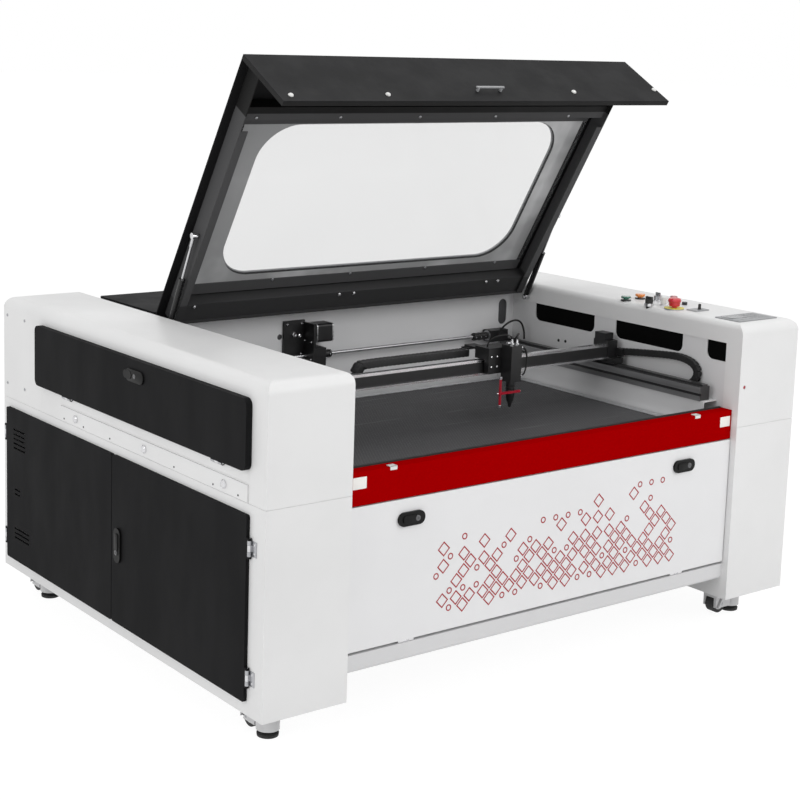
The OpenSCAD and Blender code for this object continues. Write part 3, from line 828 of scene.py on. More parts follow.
ZINC = Metal("zinc_plate", tone(176, 177, 180), 0.33)
ALLOY = Metal("bare_alloy", tone(222, 223, 224), 0.3, (0.05, 1.0, 1.0))
ANODISED = Moulded("black_anodised", tone(22, 22, 23), 0.4, 0.00001)
RAIL = RailFinish("dark_rail", tone(46, 46, 47), 0.34)
GUIDE = Metal("guide_rail", tone(236, 236, 238), 0.22, (0.01, 1.0, 1.0), 0.0)
# Dark grey sheets in the chamber wall's slots, painted as shade.
SHADE = Moulded("slot_painted_shade", tone(70, 70, 72), 0.6)
BARREL = Moulded("dark_barrel", tone(84, 84, 86), 0.3)
PANEL = Moulded("membrane_film", tone(164, 165, 167), 0.5, 0.00001)
SCREEN = Moulded("screen_film", tone(70, 74, 78), 0.2, 0.00001, 0.3)
GLOSS_BLACK = Moulded("gloss_black", tone(16, 16, 17), 0.26, 0.00001, 0.2)
PITCH = PowderCoat("pitch_coat", tone(6, 6, 6), 0.6, 0.00002, 0.10, 0.05)
LATCH = PowderCoat("latch_black", tone(12, 12, 12), 0.45, 0.00002, 0.10, 0.18)
BLACK = Moulded("black_plastic", tone(24, 24, 25), 0.48)
RUBBER = Moulded("black_rubber", tone(24, 24, 24), 0.7)
GREY = Moulded("grey_plastic", tone(150, 151, 153), 0.42)
PALE = Moulded("pale_plastic", tone(226, 226, 224), 0.35)
CHAIN = Moulded("chain_plastic", tone(24, 24, 25), 0.5)
# A grey sheet around the lid's window, painted as light reflected in the clear sheet.
REFLECTION_BORDER = ReflectionGlaze("window_reflection", tone(205, 206, 207), 0.18)
CRIMSON = Moulded("crimson_anodised", tone(168, 18, 42), 0.3, 0.00001, 0.3)
STOP_RED = Moulded("stop_red", tone(206, 42, 52), 0.3, 0.00002, 0.4)
YELLOW = Moulded("yellow_film", tone(214, 204, 60), 0.45)
GREEN = Moulded("green_cap", tone(16, 96, 76), 0.25, 0.00001, 0.5)
ORANGE = Moulded("orange_cap", tone(226, 130, 40), 0.25, 0.00001, 0.5)
COMB = Comb("comb_foil", tone(94, 94, 96))
PANE = Clear("clear_sheet", tone(176, 177, 178), 0.148)
TUBE = Clear("tube_glass", tone(214, 224, 226), 0.30)


# ----------------------------------------------------------------------- studio


@dataclass
class Studio:
    """The plain pale room: camera, lamps, floor and surroundings."""

    eye: Spot = (-2.9908, -3.7533, 1.7017)
    heading: float = 36.5512
    tilt: float = 9.0567
    roll: float = 1.5671
    lens: float = 73.135
    shift: Pair = (0.06875, -0.125)
    ambient: float = 0.59
    key: float = 98.0
    fill: float = 64.0
    top: float = 50.0

    def hang(self, data: bpy.types.ID, side: Array, up: Array, back: Array, place: Place) -> None:
        """Puts a camera or a lamp in the scene, from its three axes and its place."""
        made = bpy.data.objects.new(data.name, data)
        bpy.context.scene.collection.objects.link(made)
        turn = np.eye(4)
        turn[:3] = np.column_stack([side, up, back, place])
        made.matrix_world = Matrix(turn.tolist())

    def camera(self) -> None:
        """Aims the camera: its sight line from heading and tilt, then rolled about it."""
        head, tilt, roll = (math.radians(v) for v in (self.heading, self.tilt, self.roll))
        sight = np.array(
            [math.sin(head) * math.cos(tilt), math.cos(head) * math.cos(tilt), -math.sin(tilt)]
        )
        right = np.array([math.cos(head), -math.sin(head), 0.0])
        up = np.cross(right, sight)
        across = right * math.cos(roll) + up * math.sin(roll)
        upward = up * math.cos(roll) - right * math.sin(roll)
        data = bpy.data.cameras.new("camera")
        data.lens = self.lens
        data.shift_x, data.shift_y = self.shift
        self.hang(data, across, upward, -sight, self.eye)
        bpy.context.scene.camera = bpy.data.objects["camera"]

    def lamp(self, name: str, place: Place, aim: Place, size: float, power: float) -> None:
        """Adds a square soft lamp.

        Args:
            name: Its name.
            place: Where it hangs, in metres.
            aim: The point it faces.
            size: Its side in metres.
            power: Its power in watts.
        """
        data = bpy.data.lights.new(name, "AREA")
        data.shape, data.size, data.energy = "SQUARE", size, power
        back = np.array(place, float) - np.array(aim, float)
        back /= np.linalg.norm(back)
        side = np.cross((0.0, 0.0, 1.0) if abs(back[2]) < 0.99 else (0.0, 1.0, 0.0), back)
        side /= np.linalg.norm(side)
        self.hang(data, side, np.cross(back, side), back, place)

    def surroundings(self) -> None:
        """White to the eye and in reflections, a plain grey level as light."""
        world = bpy.data.worlds.new("room")
        world.use_nodes = True
        bpy.context.scene.world = world
        tree = world.node_tree
        tree.nodes.clear()
        total, *others = rays(tree)
        for ray in others:
            add = tree.nodes.new("ShaderNodeMath")
            add.operation, add.use_clamp = "ADD", True
            tree.links.new(total, add.inputs[0])
            tree.links.new(ray, add.inputs[1])
            total = add.outputs[0]
        mix = tree.nodes.new("ShaderNodeMix")
        mix.data_type = "RGBA"
        mix.inputs[6].default_value = (self.ambient,) * 3 + (1.0,)
        mix.inputs[7].default_value = (1.0, 1.0, 1.0, 1.0)
        tree.links.new(total, mix.inputs[0])
        sky = tree.nodes.new("ShaderNodeBackground")
        tree.links.new(mix.outputs[2], sky.inputs[0])
        end = tree.nodes.new("ShaderNodeOutputWorld")
        tree.links.new(sky.outputs[0], end.inputs[0])

    def floor(self) -> None:
        """A wide white floor that keeps a light shadow of the machine."""
        graph = Graph("floor")
        cloud = graph.grain(1.2, 2.0)
        base = graph.blend((0.88, 0.88, 0.88), (0.85, 0.85, 0.85), cloud)
        plain = graph.node("ShaderNodeBsdfPrincipled", None, {"Base Color": base, "Roughness": 0.9})
        glow = graph.node("ShaderNodeEmission", None, {0: (1.0, 1.0, 1.0), 1: 1.10})
        straight, mirrored, clear = (Term(graph, socket) for socket in rays(graph.tree))
        share = (straight + mirrored + clear).least(1.0) * 0.85
        mix = graph.node("ShaderNodeMixShader", None, {0: share})
        graph.tree.links.new(plain.outputs[0], mix.inputs[1])
        graph.tree.links.new(glow.outputs[0], mix.inputs[2])
        end = graph.node("ShaderNodeOutputMaterial")
        graph.tree.links.new(mix.outputs[0], end.inputs[0])
        mesh = bpy.data.meshes.new("floor")
        corners = np.array([[-1, -1, 0], [1, -1, 0], [1, 1, 0], [-1, 1, 0]]) * 60.0
        mesh.from_pydata((corners + [0, 0, -0.0006]).tolist(), [], [(0, 1, 2, 3)])
        mesh.materials.append(graph.material)
        made = bpy.data.objects.new("floor", mesh)
        bpy.context.scene.collection.objects.link(made)

    def build(self) -> None:
        """Sets up the whole room."""
        bpy.context.scene.view_settings.view_transform = "Standard"
        self.camera()
        self.surroundings()
        self.floor()
        self.lamp("front_lamp", (1.4, -5.0, 3.4), (0.0, 0.0, 0.6), 3.2, self.key)
        self.lamp("left_lamp", (-5.2, -0.6, 2.2), (0.0, 0.0, 0.6), 3.0, self.fill)
        self.lamp("top_lamp", (0.2, -0.4, 4.8), (0.0, 0.0, 0.8), 3.6, self.top)
# ------------------------------------------------------------------ small parts


def screw(radius: float, height: float, socket: bool = True) -> Skin:
    """A domed screw head; its profile dips in the middle to a drive socket."""
    dome = [(1.0, 0.0), (1.0, 0.25), (0.9, 0.7), (0.62, 1.0)]
    well = [(0.42, 1.0), (0.38, 0.35), (0.0, 0.3)]
    profile = dome + (well if socket else [(0.0, 1.05)])
    return lathe([(max(r * radius, TIP), z * height) for r, z in profile], 14)


def nut(across: float, height: float) -> Skin:
    """A hexagon nut with chamfered corners: a six-sided turning."""
    outer = across / math.sqrt(3.0)
    profile = (
        (0.9, 0.0), (1.0, 0.08), (1.0, 0.86), (0.88, 1.0), (0.5, 1.0), (0.48, 0.6), (0.0, 0.6)
    )
    return lathe([(max(r * outer, TIP), z * height) for r, z in profile], 6)


CAP_SCREW = screw(4.6, 2.2)


class Motif(Enum):
    """The outlines printed on the access door."""

    DIAMOND = 4
    RING = 20

    def outline(self, radius: float) -> Array:
        """Points of the outline on its circumscribed circle."""
        turn = np.linspace(0, 2 * math.pi, self.value, endpoint=False)
        return radius * np.stack([np.cos(turn), np.sin(turn)], axis=1)

    def shell(self, radius: float, line: float, height: float) -> Skin:
        """The printed line of that width around the outline."""
        thin = line / math.cos(math.pi / self.value)
        return hollow(self.outline(radius), self.outline(radius - thin), height)


@dataclass
class FrontPanel:
    """The print on the access door, the plain tags and clips on the band."""

    face_y: float = -695.0
    print_x: Pair = (-410.0, 480.0)
    print_z: float = 264.0
    print_high: float = 236.0
    pitch: float = 46.0
    line: float = 3.3
    ink: float = 0.3
    tags: tuple[Pair, ...] = ((-662.0, 637.0), (672.0, 633.0))
    clips: tuple[float, ...] = (-558.0, 552.0)

    def lattice(self) -> tuple[Array, Array]:
        """Places of the motifs.

        Two shifted grids are kept above a level foot, up to a crest that rises and falls along
        the door, and thinned towards the crest by a sine of their place.

        Returns:
            Places of the diamonds and of the rings, as x and z.
        """
        step = self.pitch / 2
        columns = np.arange(*self.print_x, step)
        rows = np.arange(self.print_z, self.print_z + self.print_high, step)
        x, z = (v.ravel() for v in np.meshgrid(columns, rows, indexing="ij"))
        i = np.rint((x - columns[0]) / step).astype(int)
        j = np.rint((z - rows[0]) / step).astype(int)
        along = (x - columns[0]) / (columns[-1] - columns[0])
        crest = 112 + 58 * along + 52 * np.abs(np.sin(along * 8.2 + 0.5))
        chance = np.modf(np.abs(np.sin(i * 12.99 + j * 78.23) * 437.58))[0]
        edge = (z - self.print_z) / crest
        keep = (chance > 0.06 + 0.62 * edge**2) & (edge < 1.45) & ((i + j) % 2 == 0)
        ring = keep & (i % 2 == 0) & (chance > 0.62)
        flat = np.stack([x, z], axis=1)
        return flat[keep & ~ring], flat[ring]

    def build(self, maker: Maker) -> None:
        """Makes the print, tags and clips."""
        shells = []
        for places, motif, radius in zip(self.lattice(), Motif, (20.5, 9.0)):
            spots = np.insert(places, 1, self.face_y, axis=1)
            shells.append(motif.shell(radius, self.line, self.ink).repeated(spots, Axis.FRONT))
        maker.piece("door_print", shells, GRAPHIC, "access_door")
        tag = pad(42.0, 30.0, 0.5, 2.0, 0.1)
        spots = [(x, self.face_y + 2.0, z) for x, z in self.tags]
        maker.piece("band_tags", tag.repeated(spots, Axis.FRONT), TAG, "frame")
        clips = [
            brick((x - 11, -694.6, low), (x + 11, back, 667.2), 1.0, 0.4)
            for x in self.clips
            for low, back in ((657, -693.0), (665.4, -676))
        ]
        maker.piece("band_clips", clips, PALE, "frame")


@dataclass
class LatchFace:
    """The paddle and lock barrel on one quarter-turn latch."""

    body: str
    centre: Spot
    axis: Axis
    along: Pair
    lift: float

    def build(self, maker: Maker) -> None:
        """Makes the paddle, and the barrel with its key slot, on the latch's face."""
        upright = self.along[1] > self.along[0]
        long, short = max(self.along), min(self.along)
        base = np.array(self.centre) + np.array(self.axis.value) * self.lift
        step = np.array([0.0, 0.2, 0.0] if upright else [0.2, 0.0, 0.0]) * long
        step = step @ self.axis.frame()
        size = (0.55 * short, 0.5 * long) if upright else (0.5 * long, 0.55 * short)
        paddle = pad(*size, 2.4, 0.2 * short, 0.7).at(base - 0.5 * step, self.axis)
        maker.piece(f"{self.body}_paddle", paddle, LATCH, self.body)
        radius = 0.21 * short
        barrel = lathe(
            [(radius, 0), (radius, 2.6), (radius * 0.86, 3.2), (radius * 0.3, 3.2),
             (radius * 0.28, 2.2), (TIP, 2.2)],
            20,
        ).at(base + step, self.axis)
        maker.piece(f"{self.body}_barrel", barrel, BARREL, self.body)


@dataclass
class SwingHandle:
    """The long oval grip and the lock of the upper side door's latch."""

    foot: Spot = (-968.0, -124.0, 830.0)
    length: float = 92.0
    width: float = 34.0
    height: float = 5.4

    def build(self, maker: Maker) -> None:
        """Makes the grip and its barrel, which turn with the latch."""
        grip = pad(self.length, self.width, self.height, self.width / 2, 1.6, 9)
        grip = grip.at(self.foot, Axis.LEFT)
        maker.piece("upper_latch_grip", grip, LATCH, "upper_latch")
        barrel = lathe([(6.4, 0), (6.4, 0.7), (5.6, 0.9), (1.8, 0.9), (1.6, 0.4), (TIP, 0.4)], 20)
        spot = np.array(self.foot) + (-self.height, -2.0, 0.0)
        maker.piece(
            "upper_latch_barrel", barrel.at(spot, Axis.LEFT), BARREL, "upper_latch"
        )


@dataclass
class HousingDetail:
    """Screws, the signal lamp and hinge plates on the side housings."""

    side_x: float = -950.0
    strip_x: float = -954.0
    hinge_x: float = -956.0
    sleeve: float = 5.25

    def build(self, maker: Maker) -> None:
        """Makes every fixed small part of the housings."""
        far = [(self.side_x, y, z) for y in (690.0, 573.0) for z in (866.0, 660.0)]
        heads = CAP_SCREW.repeated(far, Axis.LEFT)
        maker.piece("housing_screws", heads, ZINC, "frame")
        dots = [(self.strip_x, y, 627.0) for y in (-600.0, -487.0, -300.0, 40.0, 193.0, 310.0)]
        heads = screw(2.6, 1.2).repeated(dots, Axis.LEFT)
        maker.piece("strip_rivets", heads, BLACK, "frame")
        lamp = lathe([(5.2, 0), (5.2, 2.4), (4.2, 3.1), (1.6, 3.7), (TIP, 3.8)], 20)
        lamp = lamp.at((722, -711, 734), Axis.FRONT)
        maker.piece("front_signal_lamp", lamp, CRIMSON, "frame")
        self.hinge_plates(maker)

    def hinge_plates(self, maker: Maker) -> None:
        """Makes the bright leaf of each outer hinge on the housing, its screws and the sleeves."""
        leaves, heads = [], []
        leaf_x = self.side_x - 1.8
        for body, y, turn in (("front_side_door", -656.0, -1.0), ("rear_side_door", 688.0, 1.0)):
            sleeves = []
            for z in (189.0, 511.0):
                low, high = sorted((y + turn * 4.0, y + turn * 24.0))
                leaves.append(brick((leaf_x, low, z - 19), (self.side_x, high, z + 19), 0.6, 0.3))
                heads += [(leaf_x, y + turn * 15.0, z + side * 11) for side in (-1, 1)]
                short = lathe([(self.sleeve, 0), (self.sleeve, 11.0)], 20)
                sleeves += [
                    short.at((self.hinge_x, y, z + side * 14.0 - 5.5)) for side in (-1, 1)
                ]
            maker.piece(f"{body}_sleeves", sleeves, ZINC, body, 30.0)
        maker.piece("hinge_leaves", leaves, ZINC, "frame", 30.0)
        heads = screw(3.4, 1.5).repeated(heads, Axis.LEFT)
        maker.piece("hinge_screws", heads, CHROME, "frame")
        long = lathe([(self.sleeve, 0), (self.sleeve, 16.2)], 20)
        sleeves = [
            long.at((self.hinge_x, y + side * 16.7 - 8.1, 690), Axis.Y)
            for y in (-509.0, 287.0)
            for side in (-1, 1)
        ]
        maker.piece("upper_door_sleeves", sleeves, ZINC, "upper_door", 30.0)


@dataclass
class LidDetail:
    """Screws, buffers, gasket and handle cover of the lid, drawn closed and then opened."""

    hinge: Spot = (0.0, 232.0, 896.0)
    opening: float = 59.5
    front_y: float = -642.0
    front_x: tuple[float, ...] = (-622.0, -347.0, -67.0, 218.0, 514.0)
    strip_x: tuple[float, ...] = (-621.0, -342.0, -57.0, 237.0, 530.0)
    buffers: tuple[Pair, ...] = (
        (-661.0, 726.0), (-349.0, 730.0), (340.0, 747.0), (685.0, 761.0),
    )
    hinge_x: tuple[float, ...] = (-612.0, -99.0, -44.0, 492.0, 542.0)
    post_x: Pair = (-27.0, 57.0)
    window: tuple[float, float, float, float] = (1102.0, 519.0, 115.0, -169.5)

    def put(self, maker: Maker, name: str, shell: Skin, finish: Finish) -> None:
        """Makes one piece that rides with the lid, turned from its closed place to the open one."""
        maker.piece(name, shell.turned(spin(-self.opening), self.hinge), finish, "lid_body")

    def build(self, maker: Maker) -> None:
        """Makes all of the lid's small parts."""
        rows = [(x, 115.0, 906.0) for x in self.strip_x]
        rows += [(x, -474.0, 876.0) for x in self.front_x]
        heads = screw(4.6, 2.4).repeated(rows, Axis.DOWN)
        self.put(maker, "strip_screws", heads, ZINC)
        pairs = [(x, 166.0, 872.0) for x in self.hinge_x]
        heads = screw(6.2, 4.0).repeated(pairs, Axis.DOWN)
        self.put(maker, "lid_hinge_screws", heads, CHROME)
        buffer = lathe([(7.5, 0), (7.5, 1.2), (6.6, 3.4), (4.0, 5.2), (TIP, 5.8)], 18)
        buffers = buffer.repeated([(x, self.front_y, z) for x, z in self.buffers], Axis.FRONT)
        self.put(maker, "visor_buffers", buffers, PALE)
        self.put(maker, "pull_cover", self.pull(), GREY)
        width, depth, radius, y = self.window
        rubber = hollow(
            rounded(width - 0.6, depth - 0.6, radius - 0.3, 24),
            rounded(width - 7.0, depth - 7.0, radius - 3.5, 24),
            4.6,
        )
        self.put(maker, "window_gasket", rubber.at((0.0, y, 916.9)), GREY)
        # A thin grey ring under the top sheet around the window, painted as light reflected in the
        # clear sheet.
        reflection_ring = hollow(
            rounded(width + 150.0, depth + 60.0, 6.0, 24),
            rounded(width + 2.0, depth + 2.0, radius + 1.0, 24),
            0.3,
        )
        reflection_ring.points[:, 1] = np.clip(reflection_ring.points[:, 1], -292.0, 314.0)
        self.put(maker, "window_reflection", reflection_ring.at((0.0, y, 909.1)), REFLECTION_BORDER)

    def pull(self) -> Skin:
        """The cover of the pull: a bar in front of two posts."""
        y = self.front_y
        left, right = self.post_x
        bar = brick((left - 8.6, y - 16.6, 744.4), (right + 8.6, y - 11.4, 751.6), 2.0, 1.4)
        posts = [
            brick((x - 3.5, y - 12.4, 744.5), (x + 3.5, y - 0.2, 751.5), 2.0, 0.8)
            for x in self.post_x
        ]
        return Skin.joined([bar, *posts])


@dataclass
class ChamberDetail:
    """The cable loop, dark sheets painted as shade in the chamber wall's slots, motor fittings and
    screws inside the chamber.
    """

    wall_x: float = 703.0
    shelf_x: float = 689.0
    motor_y: float = 240.0

    def build(self, maker: Maker) -> None:
        """Makes the fixed parts inside the chamber."""
        # Dark grey sheets set in the chamber wall's slots: painted shade for the dark space behind
        # them.
        slots = ((35.0, 85.0, 17.0, 655, 816), (17.0, 17.0, 8.0, -250, 806))
        shade_pads = [
            pad(width, depth, 0.9, radius, 0.2, 8).at((x, 274.9, z), Axis.FRONT)
            for width, depth, radius, x, z in slots
        ]
        maker.piece("slot_shade_sheets", shade_pads, SHADE, "frame")
        plugs = [(self.wall_x, y, z) for y, z in ((46, 750), (14, 752))]
        plugs = screw(5.0, 2.0, False).repeated(plugs, Axis.LEFT)
        maker.piece("wall_plugs", plugs, BLACK, "frame")
        shelf = [
            (x, y, 683.0) for x in (-self.shelf_x, self.shelf_x) for y in (-560.0, -200.0, 160.0)
        ]
        maker.piece("shelf_screws", screw(4.2, 2.4).repeated(shelf), ZINC, "frame")
        self.motor(maker)
        path = [
            (586, 211, 752), (589, 197, 776), (606, 186, 795), (632, 180, 802),
            (655, 178, 792), (668, 177, 764), (671, 177, 736),
        ]
        maker.cord("sensor_cable", curve(path, 40), 3.2, 12, (0.2, 1.0, 0.1), "frame")

    def motor(self, maker: Maker) -> None:
        """Makes the motor's end plates, its bolts and the bearing collars."""
        plate = pad(57.6, 57.6, 5.0, 8.0, 0.8)
        plates = [plate.at((x, self.motor_y, 818.0), Axis.X) for x in (-154.2, -96.6)]
        maker.piece("motor_end_plates", plates, ALLOY, "frame")
        bolts = [(-91.6, y, z) for y in (217.0, 263.0) for z in (795.0, 841.0)]
        bolts = screw(3.6, 2.4).repeated(bolts, Axis.X)
        maker.piece("motor_bolts", bolts, ZINC, "frame")
        heads = [
            nut(16.0, 7.0).at((-204.0, 262.0, 812.0), Axis.FRONT),
            screw(7.5, 4.0).at((-183.0, 262.0, 806.0), Axis.FRONT),
        ]
        front = [(x, 262.0, z) for x in (-230.0, -176.0) for z in (750.0, 845.0)]
        side = [(-168.0, y, z) for y in (220.0, 256.0) for z in (738.0, 792.0)]
        heads += [screw(4.2, 3.0).at(spot, Axis.FRONT) for spot in front]
        heads += [screw(3.4, 2.6).at(spot, Axis.LEFT) for spot in side]
        maker.piece("bracket_fasteners", heads, CHROME, "frame")
        collar = lathe([(17, 0), (17, 2.4), (15, 3.2), (7.0, 3.2), (6.6, 2.6)], 24)
        collars = [
            collar.at((x, self.motor_y, 747.0), axis)
            for x, axis in ((-116.0, Axis.X), (562.0, Axis.LEFT))
        ]
        maker.piece("bearing_collars", collars, ZINC, "frame")


@dataclass
class ShaftDetail:
    """Sleeves, clamp rings and clamp screws of the drive shaft's two couplings."""

    y: float = 240.0
    z: float = 747.0
    rings: tuple[float, ...] = (-109.0, -90.0, 505.0, 526.0, 546.0)
    sleeves: tuple[Pair, ...] = ((-113.2, 30.4), (499.8, 55.4))

    def build(self, maker: Maker) -> None:
        """Makes the sleeves, the dark rings and their clamp screws."""
        sleeves = []
        for x, span in self.sleeves:
            end = [(12.35, span - 0.4), (12.0, span), (6.2, span + 0.2)]
            sleeve = lathe([(12.0, 0), (12.35, 0.4), *end], 28)
            sleeves.append(sleeve.at((x, self.y, self.z), Axis.X))
        maker.piece("coupling_sleeves", sleeves, ANODISED, "shaft")
        ring = lathe([(12.2, 0), (13.2, 0.8), (13.2, 5.2), (12.2, 6.0)], 28)
        rings = [ring.at((x - 3, self.y, self.z), Axis.X) for x in self.rings]
        maker.piece("coupling_rings", rings, GLOSS_BLACK, "shaft")
        heads = [(x, self.y - 12.9, self.z) for x in self.rings]
        heads = screw(2.0, 1.2).repeated(heads, Axis.FRONT)
        maker.piece("clamp_screws", heads, ZINC, "shaft")


@dataclass
class CableChain:
    """A cable chain: a link with side plates, pins and a core, stamped along a curve."""

    name: str
    node: str
    body: str
    line: tuple[Pair, ...]
    across: Pair
    height: float
    along_y: bool
    pitch: float = 15.0

    def places(self) -> tuple[Array, Array]:
        """Spaces the links evenly along the curve through the line's points.

        Returns:
            Each link's place as (run, height), and the curve's angle there.
        """
        fine = curve([(run, 0.0, high) for run, high in self.line], 400)[:, (0, 2)]
        steps = np.linalg.norm(np.diff(fine, axis=0), axis=1)
        reach = np.concatenate([[0.0], np.cumsum(steps)])
        ends = np.linspace(0.0, reach[-1], int(reach[-1] / self.pitch) + 1)
        knots = np.column_stack([np.interp(ends, reach, fine[:, k]) for k in (0, 1)])
        step = np.diff(knots, axis=0)
        return (knots[:-1] + knots[1:]) / 2, np.arctan2(step[:, 1], step[:, 0])

    def link(self) -> Skin:
        """One link along its own X: two chamfered side plates, a core and two pins."""
        wide, tall, long = self.across[1] - self.across[0], self.height, self.pitch
        core = np.array([long * 0.56, wide / 2 - 1.8, tall / 2 - 1.6])
        parts = [brick(-core, core)]
        for side in (-1.0, 1.0):
            y = side * (wide / 2 - 1.0)
            parts.append(pad(long * 1.04, tall, 2.0, 3.2, 0.5, 3).at((0, y - 1.0, 0), Axis.Y))
            pin = lathe([(tall * 0.14, 0), (tall * 0.14, 0.4)], 10)
            parts.append(pin.at((-long * 0.2, y + side - 0.2, 0), Axis.Y))
        return Skin.joined(parts)

    def build(self, maker: Maker) -> None:
        """Stamps the link along the line and hides the plain chain.

        A link's point (x, y, z) goes to run = place + x cos a - z sin a and
        height = place + x sin a + z cos a, with a the curve's angle.
        """
        spots, slopes = self.places()
        link = self.link()
        cos, sin = np.cos(slopes)[:, None], np.sin(slopes)[:, None]
        x, y, z = link.points.T
        run = spots[:, :1] + x * cos - z * sin
        high = spots[:, 1:] + x * sin + z * cos
        side = np.broadcast_to(sum(self.across) / 2 + y, run.shape)
        order = (side, run, high) if self.along_y else (run, side, high)
        chain = link.copies(np.stack(order, axis=-1))
        made = maker.piece(self.name, chain, CHAIN, self.body)
        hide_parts(self.node)


@dataclass
class HeadDetail:
    """Hoses, fittings and screws of the cutting head."""

    x: float = 195.0
    y: float = -284.0
    side: float = 215.0

    def build(self, maker: Maker) -> None:
        """Makes the parts on the head and on its nozzle."""
        heads = [(self.x + dx, -262.0, z) for dx in (-58.0, -36.0) for z in (770.0, 800.0)]
        heads = screw(3.6, 2.2).repeated(heads, Axis.FRONT)
        maker.piece("head_screws", heads, CHROME, "head")
        heads = screw(3.2, 2.0).repeated([(self.side, self.y, z) for z in (746.0, 818.0)], Axis.X)
        maker.piece("head_side_screws", heads, ZINC, "head")
        x, side = self.x, self.side
        fittings = [
            nut(11.0, 6.0).at((x - 6, -290, 836.0)),
            lathe([(4.2, 0), (4.2, 7), (3.0, 8), (3.0, 13)], 16).at((x - 6, -290, 841.0)),
            nut(10.0, 5.0).at((x + 12, -292, 836.0)),
            lathe([(3.8, 0), (3.8, 6), (3.0, 7), (3.0, 12)], 16).at((x + 12, -292, 840.0)),
            nut(10.0, 6.0).at((side, -292, 826.0), Axis.X),
            lathe([(4.0, 0), (4.0, 8), (2.8, 9)], 16).at((side + 5, -292, 826.0), Axis.X),
            nut(10.0, 6.0).at((side, -292, 742.0), Axis.X),
            lathe([(4.0, 0), (4.0, 7), (2.8, 8)], 16).at((side + 5, -292, 742.0), Axis.X),
            lathe([(4.4, 0), (4.4, 10)], 16).at((x - 22, -286, 842.0), Axis.X),
        ]
        maker.piece("hose_fittings", fittings, CHROME, "head")
        self.hoses(maker)
        knob = lathe([(4.6, 0), (5.4, 1), (5.4, 7), (4.6, 8)], 16)
        knobs = knob.repeated([(x - 50, -296, z) for z in (739.0, 655.2)])
        maker.piece("pen_ends", knobs, ZINC, "nozzle")
        tips = [
            screw(4.0, 3.0).at((x + dx, -296.5, 697.5), axis)
            for dx, axis in ((-60, Axis.LEFT), (26, Axis.X))
        ]
        maker.piece("crossbar_screws", tips, CHROME, "nozzle")
        ring = lathe([(14.1, 0), (14.9, 0.8), (14.9, 4.2), (14.1, 5)], 32)
        rings = ring.repeated([(x, self.y, z) for z in (704.0, 712.0)])
        maker.piece("tube_rings", rings, GLOSS_BLACK, "nozzle")

    def hoses(self, maker: Maker) -> None:
        """Makes the two hoses and the lead that arch from the top of the head.

        Places along X are measured from the head's middle.
        """
        routes = {
            "air_hose": (2.6, (
                (32, -292, 826), (44, -291, 822), (53, -290, 806), (56, -290, 784),
                (53, -290, 762), (44, -291, 746), (31, -292, 742),
            )),
            "water_hose": (2.6, (
                (12, -292, 850), (15, -290, 862), (26, -282, 866), (34, -268, 858),
                (36, -256, 846), (34, -246, 838), (27, -238, 834),
            )),
            "lamp_lead": (2.2, (
                (-6, -290, 853), (-10, -289, 862), (-24, -280, 866), (-42, -262, 860),
                (-50, -246, 848), (-52, -238, 838), (-52, -234, 826),
            )),
        }
        for name, (radius, points) in routes.items():
            path = curve(np.array(points, float) + (self.x, 0, 0), 36)
            maker.cord(name, path, radius, 10, (0.1, 1.0, 0.15), "head")


